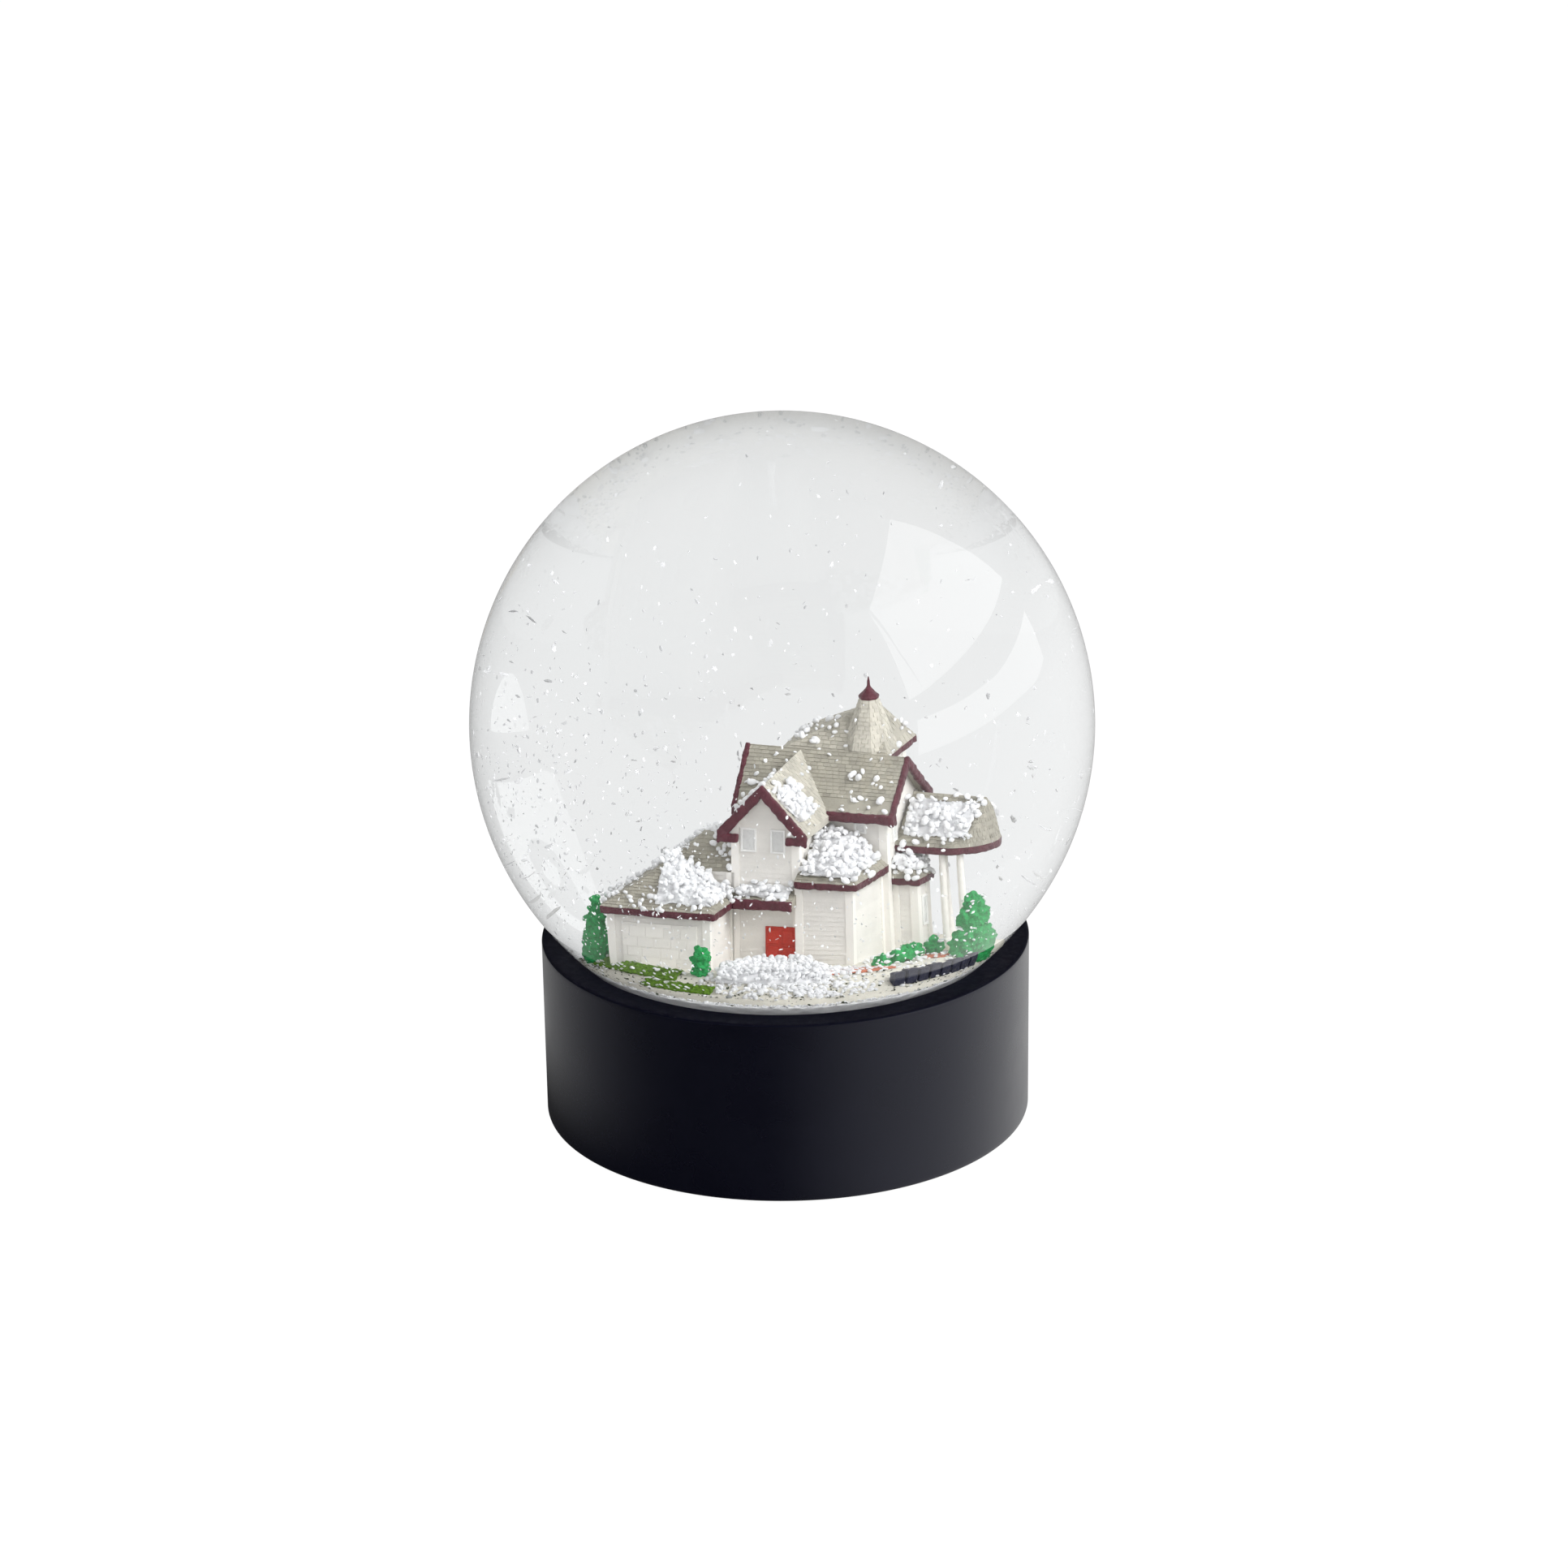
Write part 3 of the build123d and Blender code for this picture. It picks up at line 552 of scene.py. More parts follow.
def cad_bmesh(node):
    """A CAD piece as clean polygons, in mm."""
    bm = bmesh.new()
    bm.from_mesh(frame["nodes"][node].data)
    bmesh.ops.scale(bm, vec=(1 / MM,) * 3, verts=bm.verts)
    bmesh.ops.remove_doubles(bm, verts=bm.verts, dist=0.0005)
    bmesh.ops.dissolve_limit(bm, angle_limit=math.radians(0.6), verts=bm.verts, edges=bm.edges)
    return bm


def soft_bmesh(node, voxel, rounds, wobble, size, swell=0.0):
    """A CAD piece with its edges melted and its skin uneven, in mm."""
    bm = cad_bmesh(node)
    mesh = bpy.data.meshes.new("blank")
    bm.to_mesh(mesh)
    bm.free()
    blank = bpy.data.objects.new("blank", mesh)
    bpy.context.collection.objects.link(blank)
    remesh = blank.modifiers.new("voxels", "REMESH")
    remesh.mode = "VOXEL"
    remesh.voxel_size = voxel
    ready = blank.evaluated_get(bpy.context.evaluated_depsgraph_get())
    bm = bmesh.new()
    bm.from_mesh(ready.to_mesh())
    ready.to_mesh_clear()
    bpy.data.objects.remove(blank)
    bpy.data.meshes.remove(mesh)
    axes = dict.fromkeys(("use_axis_x", "use_axis_y", "use_axis_z"), True)
    for _ in range(rounds):
        bmesh.ops.smooth_vert(bm, verts=bm.verts, factor=0.5, **axes)
    bm.normal_update()
    shifts = []
    for v in bm.verts:
        at = v.co / size
        shifts.append(v.normal * (swell + wobble * (noise.noise(at) + 0.4 * noise.noise(at * 2.7))))
    for v, shift in zip(bm.verts, shifts):
        v.co += shift
    return bm


def cast_piece(node, material, voxel=0.12, rounds=2, wobble=0.06, size=0.9, swell=0.0):
    """Soft painted casting that stands for a CAD piece."""
    pile = Pile()
    pile.add_bmesh(soft_bmesh(node, voxel, rounds, wobble, size, swell), 0.4)
    return settle(pile.make(node + "_cast", material, 60), (node,))


def bevelled_bmesh(node, width):
    """A CAD piece with narrow softened edges, in mm."""
    bm = cad_bmesh(node)
    sharp = [e for e in bm.edges if len(e.link_faces) == 2 and e.calc_face_angle(0) > math.radians(25)]
    bmesh.ops.bevel(
        bm, geom=sharp, offset=width, segments=2, profile=0.5, affect="EDGES", clamp_overlap=True
    )
    return bm


def crisp_piece(node, material, width):
    """Bevelled casting that stands for a CAD piece."""
    pile = Pile()
    pile.add_bmesh(bevelled_bmesh(node, width), 0.4)
    return settle(pile.make(node + "_cast", material, 30), (node,))


def flat_regions(bm, low, high):
    """Faces gathered by the plane they lie in, where the normal's height is between two values."""
    found = {}
    for face in bm.faces:
        n = face.normal
        if low <= n.z <= high and face.calc_area() > 0.03:
            key = (round(n.x, 1), round(n.y, 1), round(n.z, 1), round(n.dot(face.verts[0].co) * 2))
            found.setdefault(key, []).append(face)
    return list(found.values())


def region_bmesh(faces):
    """A copy of some faces alone."""
    bm = bmesh.new()
    known = {}
    for face in faces:
        for v in face.verts:
            if v.index not in known:
                known[v.index] = bm.verts.new(v.co)
        bm.faces.new([known[v.index] for v in face.verts])
    return bm


def keep_between(bm, direction, low, high):
    """A copy of the faces cut to the space between two parallel planes."""
    part = bm.copy()
    for level, sign in ((low, -1), (high, 1)):
        geom = part.verts[:] + part.edges[:] + part.faces[:]
        place, facing = direction * level, direction * sign
        bmesh.ops.bisect_plane(
            part, geom=geom, dist=1e-5, plane_co=place, plane_no=facing, clear_outer=True
        )
    return part


def raise_tile(pile, part, normal, up, foot, rise, depth, tone):
    """A flat piece given thickness, thick at its lower edge and thin at its top."""
    if part.faces:
        bmesh.ops.dissolve_faces(part, faces=part.faces[:], use_verts=False)
    for face in part.faces:
        if face.calc_area() < 0.01:
            continue
        below = [v.co - normal * 0.1 for v in face.verts]
        above = []
        for v in face.verts:
            share = min(1.0, max(0.0, (v.co.dot(up) - foot) / rise))
            above.append(v.co + normal * depth * (1 - 0.85 * share))
        n = len(above)
        sides = [(k, (k + 1) % n, n + (k + 1) % n, n + k) for k in range(n)]
        pile.add(below + above, [tuple(range(n, 2 * n)), tuple(range(n - 1, -1, -1)), *sides], tone)


def lay_courses(pile, bm, low, high, rise, depth, joint=None, gap=0.08, seed=1):
    """Boards or shingles in level courses over the flat faces of a piece."""
    rng = random.Random(seed)
    bm.verts.index_update()
    for faces in flat_regions(bm, low, high):
        normal = faces[0].normal.copy()
        across = Vector((0, 0, 1)).cross(normal).normalized()
        up = normal.cross(across)
        region = region_bmesh(faces)
        heights = [v.co.dot(up) for v in region.verts]
        sides = [v.co.dot(across) for v in region.verts]
        foot, top, row = min(heights), max(heights), 0
        while foot < top - 0.05:
            strip = keep_between(region, up, foot, foot + rise)
            if joint is None:
                raise_tile(pile, strip, normal, up, foot, rise, depth, rng.uniform(0, 0.35))
            else:
                left = min(sides) - joint * (0.5 * (row % 2) + rng.uniform(0.05, 0.3))
                while left < max(sides):
                    right = left + joint * rng.uniform(0.85, 1.15)
                    tile = keep_between(strip, across, left + gap / 2, right - gap / 2)
                    thick = depth * rng.uniform(0.75, 1.25)
                    raise_tile(pile, tile, normal, up, foot, rise, thick, rng.random())
                    tile.free()
                    left = right
            strip.free()
            foot += rise
            row += 1
        region.free()


def corner_boards(pile, bm, width, depth):
    """Pale boards up the outside corners of the walls."""
    for edge in bm.edges:
        if len(edge.link_faces) != 2 or edge.calc_length() < 1.5:
            continue
        low, high = sorted((v.co.copy() for v in edge.verts), key=lambda p: p.z)
        first, second = (f.normal.copy() for f in edge.link_faces)
        level = abs(first.z) < 0.02 and abs(second.z) < 0.02
        upright = (high - low).normalized().z >= 0.99
        if not (level and upright and edge.is_convex) or abs(first.dot(second)) > 0.5:
            continue
        corners = ((depth, depth), (-width, depth), (-width, -width), (depth, -width))
        points = [end + first * a + second * b for end in (low, high) for a, b in corners]
        faces = [(0, 1, 2, 3), (7, 6, 5, 4)]
        faces += [(k, k + 4, (k + 1) % 4 + 4, (k + 1) % 4) for k in range(4)]
        pile.add(points, faces, 1.0)


def lathe_bmesh(outline, steps):
    """Closed outline of (radius, height) in mm spun round the upright axis."""
    bm = bmesh.new()
    rings = []
    for k in range(steps):
        angle = 2 * math.pi * k / steps
        rings.append([bm.verts.new((r * math.cos(angle), r * math.sin(angle), z)) for r, z in outline])
    for k in range(steps):
        here, there = rings[k], rings[(k + 1) % steps]
        for i in range(len(outline)):
            j = (i + 1) % len(outline)
            if outline[i][0] > 1e-6 or outline[j][0] > 1e-6:
                bm.faces.new((here[i], there[i], there[j], here[j]))
    bmesh.ops.remove_doubles(bm, verts=bm.verts, dist=1e-4)
    bmesh.ops.recalc_face_normals(bm, faces=bm.faces)
    return bm


def arc(radius, centre, start, stop, steps):
    """Points of (radius, height) along a circle about a point on the axis, between two headings."""
    made = []
    for k in range(steps + 1):
        angle = start + (stop - start) * k / steps
        made.append((radius * math.cos(angle), centre + radius * math.sin(angle)))
    return made


def lump_shapes(rng, count, detail, flat, rough):
    """A few irregular flattened lumps of unit size as (points, faces)."""
    shapes = []
    for _ in range(count):
        bm = bmesh.new()
        bmesh.ops.create_icosphere(bm, subdivisions=detail, radius=0.5)
        stretch = Vector((rng.uniform(0.8, 1.2), rng.uniform(0.55, 0.9), rng.uniform(*flat)))
        for v in bm.verts:
            v.co = v.co * stretch * (1 + rough * rng.uniform(-1, 1))
        points = np.array([tuple(v.co) for v in bm.verts])
        shapes.append((points, [tuple(v.index for v in f.verts) for f in bm.faces]))
        bm.free()
    return shapes


def strew(pile, shapes, places, rng, sizes, tones, tilt=math.pi):
    """One lump at every place, in mm."""
    for place in places:
        points, faces = rng.choice(shapes)
        turn = Euler((rng.uniform(-tilt, tilt), rng.uniform(-tilt, tilt), rng.uniform(0, 6.3))).to_matrix()
        size = rng.uniform(*sizes)
        pile.add(points @ np.array(turn).T * size + np.array(place), faces, rng.uniform(*tones))


def places_on(node, density, rng, low=0.15, lift=0.2, mask=None):
    """Places on the upward faces of a CAD piece, in mm; density is per square mm."""
    bm = cad_bmesh(node)
    bmesh.ops.triangulate(bm, faces=bm.faces)
    made = []
    for face in bm.faces:
        if face.normal.z < low:
            continue
        a, b, c = (v.co for v in face.verts)
        wanted = face.calc_area() * density
        count = int(wanted) + (rng.random() < wanted % 1)
        for _ in range(count):
            s, t = sorted((rng.random(), rng.random()))
            at = a * s + b * (t - s) + c * (1 - t) + face.normal * rng.uniform(0, lift)
            if mask is None or mask(at):
                made.append(tuple(at))
    bm.free()
    return made


def ball():
    """Outside radius of the ball and height of its centre, in mm."""
    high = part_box("glass_globe")[1]
    return high.x / MM, (high.z - high.x) / MM


# ---- operators ----


class GLOBE_OT_base(bpy.types.Operator):
    """Turned base shell, closing plate and felt"""

    bl_idname = "snow_globe.base"
    bl_label = "Base"

    def execute(self, context):
        made = context.scene.globe_settings
        low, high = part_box("base_shell")
        outer, foot, rim = high.x / MM, low.z / MM, high.z / MM
        wall, edge, gap = made.base_wall / MM, made.rim_edge / MM, made.seat_gap / MM
        radius, centre = ball()
        seat = radius + gap
        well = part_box("globe_adhesive")[1].x / MM
        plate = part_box("bottom_plate")[1].z / MM
        mouth = math.sqrt(seat ** 2 - (centre - rim) ** 2)
        meet = centre - math.sqrt(seat ** 2 - well ** 2)
        start, stop = math.atan2(rim - centre, mouth), math.atan2(meet - centre, well)
        outline = [(outer - wall, foot), (outer - edge, foot)]
        outline += [(outer - edge * (1 - math.sin(a)), foot + edge * (1 - math.cos(a))) for a in (0.5, 1.0)]
        outline += [(outer, foot + edge), (outer, foot + edge + 0.6)]
        outline += [(outer, rim - edge - 0.6), (outer, rim - edge)]
        outline += [(outer - edge * (1 - math.cos(a)), rim - edge * (1 - math.sin(a))) for a in (0.5, 1.0)]
        outline += [(outer - edge, rim), (outer - edge - 0.5, rim - 0.03), (mouth + 0.5, rim - 0.03)]
        outline += [(mouth + 0.2, rim)] + arc(seat, centre, start, stop, 8)
        outline += [(well, plate + 4), (well + 1.4, plate + 4), (well + 1.4, rim - 4.5)]
        outline += [(outer - wall, rim - 4.5)]
        pile = Pile()
        pile.add_bmesh(lathe_bmesh(outline, 288), 0.5)
        for k in range(6):
            bm = bmesh.new()
            bmesh.ops.create_cube(bm, size=1)
            size = (outer - wall - well - 0.5, 1.6, rim - 1 - plate)
            place = Matrix.Translation((well + 0.7 + size[0] / 2, 0, plate + size[2] / 2))
            turn = Matrix.Rotation(math.radians(30 + 60 * k), 4, "Z")
            bm.transform(turn @ place @ Matrix.Diagonal((*size, 1)))
            pile.add_bmesh(bm, 0.5)
        black = satin_finish("satin_black_base", made.base_colour)
        piece = settle(pile.make("turned_base", black, 35), ("base_shell",))
        piece.data.materials.append(rim_finish("matt_black_rim", made.base_colour))
        for face in piece.data.polygons:
            if face.normal.z > 0.3 and face.center.z > (rim - 4) * MM:
                face.material_index = 1
        plain = satin_finish("plate_black", shade(made.base_colour, 1.6), (0.4, 0.6), 0.02)
        dress("bottom_plate", plain)
        dress("felt_pad", felt_finish("black_felt", made.felt_colour))
        return {"FINISHED"}


class GLOBE_OT_stopper(bpy.types.Operator):
    """Rubber stopper, filler plug and adhesives"""

    bl_idname = "snow_globe.stopper"
    bl_label = "Stopper"

    def execute(self, context):
        made = context.scene.globe_settings
        rubber = rubber_finish("black_rubber", made.rubber_colour)
        glue = adhesive_finish("cured_adhesive")
        dress("rubber_stopper", rubber)
        dress("filler_plug", rubber)
        dress("globe_adhesive", glue)
        dress("scene_adhesive", glue)
        return {"FINISHED"}


class GLOBE_OT_glass(bpy.types.Operator):
    """Blown glass ball with its neck and lip"""

    bl_idname = "snow_globe.glass"
    bl_label = "Glass"

    def execute(self, context):
        made = context.scene.globe_settings
        radius, centre = ball()
        wall, neck = made.glass_wall / MM, made.neck_radius / MM
        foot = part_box("glass_globe")[0].z / MM
        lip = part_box("rubber_stopper")[1].x / MM
        lip_top = foot + made.lip_height / MM
        inner, bore = radius - wall, neck - wall
        outside = arc(radius, centre, math.pi / 2, -math.acos(neck / radius), 160)
        inside = arc(inner, centre, -math.acos(bore / inner), math.pi / 2, 160)
        outline = outside + [(neck, lip_top), (lip, lip_top - 0.3), (lip, foot + 0.3), (lip - 0.3, foot)]
        outline += [(bore, foot)] + inside
        bm = lathe_bmesh(outline, 256)
        mesh = bpy.data.meshes.new("blown_glass")
        bmesh.ops.scale(bm, vec=(MM,) * 3, verts=bm.verts)
        bm.to_mesh(mesh)
        bm.free()
        mesh.materials.append(glass_finish("clear_glass", made.glass_ior))
        mesh.materials.append(inner_finish("glass_inner_face", made.glass_ior, (0.995, 1, 1)))
        middle = (radius - wall / 2) * MM
        for face in mesh.polygons:
            at = face.center
            face.use_smooth = True
            up = at.z - centre * MM
            in_ball = math.hypot(at.x, at.y, up) < middle and at.z > foot * MM
            near_mouth = math.hypot(at.x, at.y) < bore * MM + 0.004
            face.material_index = int(in_ball and (up > -0.03 or near_mouth))
        mesh.set_sharp_from_angle(angle=math.radians(35))
        piece = bpy.data.objects.new("blown_glass", mesh)
        context.collection.objects.link(piece)
        settle(piece, ("glass_globe",))
        return {"FINISHED"}


class GLOBE_OT_water(bpy.types.Operator):
    """Water that fills the ball and turns with the flakes"""

    bl_idname = "snow_globe.water"
    bl_label = "Water"

    def execute(self, context):
        made = context.scene.globe_settings
        radius, centre = ball()
        lap = made.water_overlap / MM
        skin = radius - made.glass_wall / MM + lap
        bore = (made.neck_radius - made.glass_wall) / MM + lap
        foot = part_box("rubber_stopper")[1].z / MM - lap
        outline = [(0.0, foot), (bore, foot)]
        outline += arc(skin, centre, -math.acos(bore / skin), math.pi / 2, 160)
        pile = Pile()
        pile.add_bmesh(lathe_bmesh(outline, 256))
        clear = inner_finish("clear_water", made.water_ior, (0.992, 0.998, 1.0))
        settle(pile.make("water_fill", clear, 35), ("water",), SWIRL)
        return {"FINISHED"}


class GLOBE_OT_flakes(bpy.types.Operator):
    """Loose flakes in the open water"""

    bl_idname = "snow_globe.flakes"
    bl_label = "Floating flakes"

    def execute(self, context):
        made = context.scene.snow_settings
        rng = random.Random(made.seed)
        radius, centre = ball()
        reach = radius - context.scene.globe_settings.glass_wall / MM - 1.2
        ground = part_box("ground_mound")[1].z / MM
        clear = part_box("ground_mound")[1].x / MM + 1.3
        low_roofs, top_roof, setback = ground + 21.2, ground + 33.2, 4.6
        places = []
        while len(places) < made.flake_count:
            x, y, z = (rng.uniform(-reach, reach) for _ in range(3))
            away, level = math.hypot(x, y), z + centre
            if math.hypot(away, z) > reach or level < ground + 0.8:
                continue
            if level < low_roofs and away < clear:
                continue
            if level < top_roof and away < clear - setback:
                continue
            lean = 0.03 + 0.97 / (1 + math.exp((z + 0.4 * x + 13) / 6.5))
            if rng.random() > lean * (1.0 if y < 0 else 0.5):  # most have sunk low, left and to the front
                continue
            places.append((x, y, level))
        pile = Pile()
        slivers = lump_shapes(rng, 8, 1, (0.10, 0.2), 0.25)
        sizes = (made.flake_small / MM, made.flake_large / MM)
        strew(pile, slivers, places, rng, sizes, (0.7, 1.0))
        white = snow_finish("floating_snow", made.snow_colour)
        settle(pile.make("loose_flakes", white), ("floating_flakes",), SWIRL)
        return {"FINISHED"}


class GLOBE_OT_ground(bpy.types.Operator):
    """Cast ground, lawn, path and edging stones"""

    bl_idname = "snow_globe.ground"
    bl_label = "Ground"

    def execute(self, context):
        made = context.scene.house_settings
        cream = ground_finish("cream_ground", made.ground_colour)
        cast_piece("ground_mound", cream, 0.4, 2, 0.12, 2.0)
        lawn = foliage_finish("lawn_green", made.lawn_colour)
        cast_piece("lawn_patches", lawn, 0.12, 1, 0.22, 0.5)
        path = painted_finish("terracotta_path", made.path_colour, 1.4, 0.3, (0.6, 0.85), 0.08, 0.2)
        cast_piece("garden_path", path, 0.12, 1, 0.08, 0.6)
        stone = painted_finish("dark_stones", made.stone_colour, 1.0, 0.25, (0.35, 0.6), 0.06, 0.3)
        cast_piece("edging_stones", stone, 0.12, 3, 0.15, 0.9)
        return {"FINISHED"}


class GLOBE_OT_plants(bpy.types.Operator):
    """Trees, fir and hedges"""

    bl_idname = "snow_globe.plants"
    bl_label = "Plants"

    def execute(self, context):
        leaf = foliage_finish("foliage_green", context.scene.house_settings.foliage_colour)
        for node in ("hedges", "left_tree", "right_tree", "small_fir"):
            cast_piece(node, leaf, 0.14, 1, 0.62, 0.7)
        return {"FINISHED"}


class GLOBE_OT_walls(bpy.types.Operator):
    """Walls with siding and corner boards, columns and deck"""

    bl_idname = "snow_globe.walls"
    bl_label = "Walls"

    def execute(self, context):
        made = context.scene.house_settings
        paint = painted_finish("wall_paint", made.wall_colour, 3.5, 0.3, (0.5, 0.75), 0.03, 0.05)
        rise, depth = made.siding_rise / MM, made.siding_depth / MM
        for k, node in enumerate(WALLS):
            pile = Pile()
            pile.add_bmesh(bevelled_bmesh(node, made.edge_bevel / MM), 0.3)
            bm = cad_bmesh(node)
            bm.normal_update()
            lay_courses(pile, bm, -0.02, 0.02, rise, depth, seed=k)
            corner_boards(pile, bm, made.corner_width / MM, depth * 1.8)
            bm.free()
            settle(pile.make(node + "_cast", paint, 30), (node,))
        cast_piece("veranda_columns", paint, 0.1, 2, 0.04, 0.8)
        deck = painted_finish("deck_paint", shade(made.ground_colour, 1.05), 1.5, 0.3, (0.6, 0.8), 0.05, 0.1)
        cast_piece("veranda_deck", deck, 0.18, 2, 0.05, 1.0)
        return {"FINISHED"}


class GLOBE_OT_openings(bpy.types.Operator):
    """Doors, window frames and panes"""

    bl_idname = "snow_globe.openings"
    bl_label = "Doors and windows"

    def execute(self, context):
        made = context.scene.house_settings
        bevel = made.edge_bevel / MM
        red = painted_finish("door_red", made.door_colour, 1.2, 0.2, (0.35, 0.55), 0.03, 0.12)
        pile = Pile()
        pile.add_bmesh(bevelled_bmesh("front_door", bevel), 0.2)
        bm = cad_bmesh("front_door")
        face = max(bm.faces, key=lambda f: f.calc_area() * (f.normal.y < -0.5))
        self.panels(pile, face)
        bm.free()
        settle(pile.make("front_door_cast", red, 30), ("front_door",))
        paint = painted_finish("garage_door_paint", made.wall_colour, 2.5, 0.3, (0.45, 0.65), 0.03, 0.04)
        pile = Pile()
        pile.add_bmesh(bevelled_bmesh("garage_door", bevel), 0.1)
        bm = cad_bmesh("garage_door")
        lay_courses(pile, bm, -0.02, 0.02, 1.35, 0.07, 2.2, 0.12, 5)
        bm.free()
        settle(pile.make("garage_door_cast", paint, 30), ("garage_door",))
        white = painted_finish("frame_paint", made.frame_colour, 1.5, 0.2, (0.4, 0.6), 0.02, 0.04)
        crisp_piece("window_frames", white, 0.06)
        grey = painted_finish("pane_paint", made.pane_colour, 1.0, 0.2, (0.2, 0.4), 0.02, 0.08)
        crisp_piece("window_panes", grey, 0.03)
        return {"FINISHED"}

    def panels(self, pile, face):
        """Two leaves with raised panels on a door's front face."""
        normal = face.normal.copy()
        across = Vector((0, 0, 1)).cross(normal).normalized()
        sides = [v.co.dot(across) for v in face.verts]
        floor, top = min(v.co.z for v in face.verts), max(v.co.z for v in face.verts)
        origin = normal * face.verts[0].co.dot(normal)
        half = (max(sides) - min(sides)) / 2
        for leaf in range(2):
            left = min(sides) + leaf * half + 0.22
            for low, high in ((floor + 0.5, floor + 1.9), (floor + 2.2, top - 0.35)):
                right = left + half - 0.44
                corners = [(left, low), (right, low), (right, high), (left, high)]
                ring = [origin + across * a + Vector((0, 0, b)) for a, b in corners]
                middle = sum(ring, Vector()) / 4
                top_ring = [p + (middle - p) * 0.14 + normal * 0.1 for p in ring]
                foot_ring = [p - normal * 0.05 for p in ring]
                faces = [(3, 2, 1, 0), (4, 5, 6, 7)]
                faces += [(k, (k + 1) % 4, (k + 1) % 4 + 4, k + 4) for k in range(4)]
                pile.add(foot_ring + top_ring, faces, 0.5)


class GLOBE_OT_roofs(bpy.types.Operator):
    """Roofs laid with shingles"""

    bl_idname = "snow_globe.roofs"
    bl_label = "Roofs"

    def execute(self, context):
        made = context.scene.house_settings
        taupe = shingle_finish("taupe_shingles", made.roof_colour)
        cream = shingle_finish("cream_shingles", made.cream_colour)
        pale = tuple((a + b) / 2 for a, b in zip(made.roof_colour, made.cream_colour))
        weathered = shingle_finish("weathered_shingles", pale)
        for k, node in enumerate(ROOFS):
            material = weathered if node == "rear_roof" else taupe
            self.shingle(made, node, material, "roof_shingle", k)
        for k, node in enumerate(("front_gable_roof", "turret_roof")):
            self.shingle(made, node, cream, "roof_cream", 20 + k)
        return {"FINISHED"}

    def shingle(self, made, node, material, slot, seed):
        """Roof body with its tiles in one piece."""
        pile = Pile()
        pile.add_bmesh(bevelled_bmesh(node, made.edge_bevel / MM), 0.45)
        bm = cad_bmesh(node)
        rise, depth, wide = made.shingle_rise / MM, made.shingle_depth / MM, made.shingle_width / MM
        lay_courses(pile, bm, 0.12, 0.97, rise, depth, wide, seed=seed)
        bm.free()
        settle(pile.make(node + "_cast", material, 30), (node,))


class GLOBE_OT_trims(bpy.types.Operator):
    """Burgundy boards and the turret's cap"""

    bl_idname = "snow_globe.trims"
    bl_label = "Trims"

    def execute(self, context):
        made = context.scene.house_settings
        paint = painted_finish("burgundy_trim", made.trim_colour, 0.9, 0.18, (0.3, 0.5), 0.05, 0.28)
        for node in TRIMS:
            cast_piece(node, paint, 0.09, 2, 0.12, 0.8, 0.06 + 0.08 * (node in GABLE_BOARDS))
        cast_piece("turret_finial", paint, 0.09, 1, 0.04, 0.7)
        return {"FINISHED"}


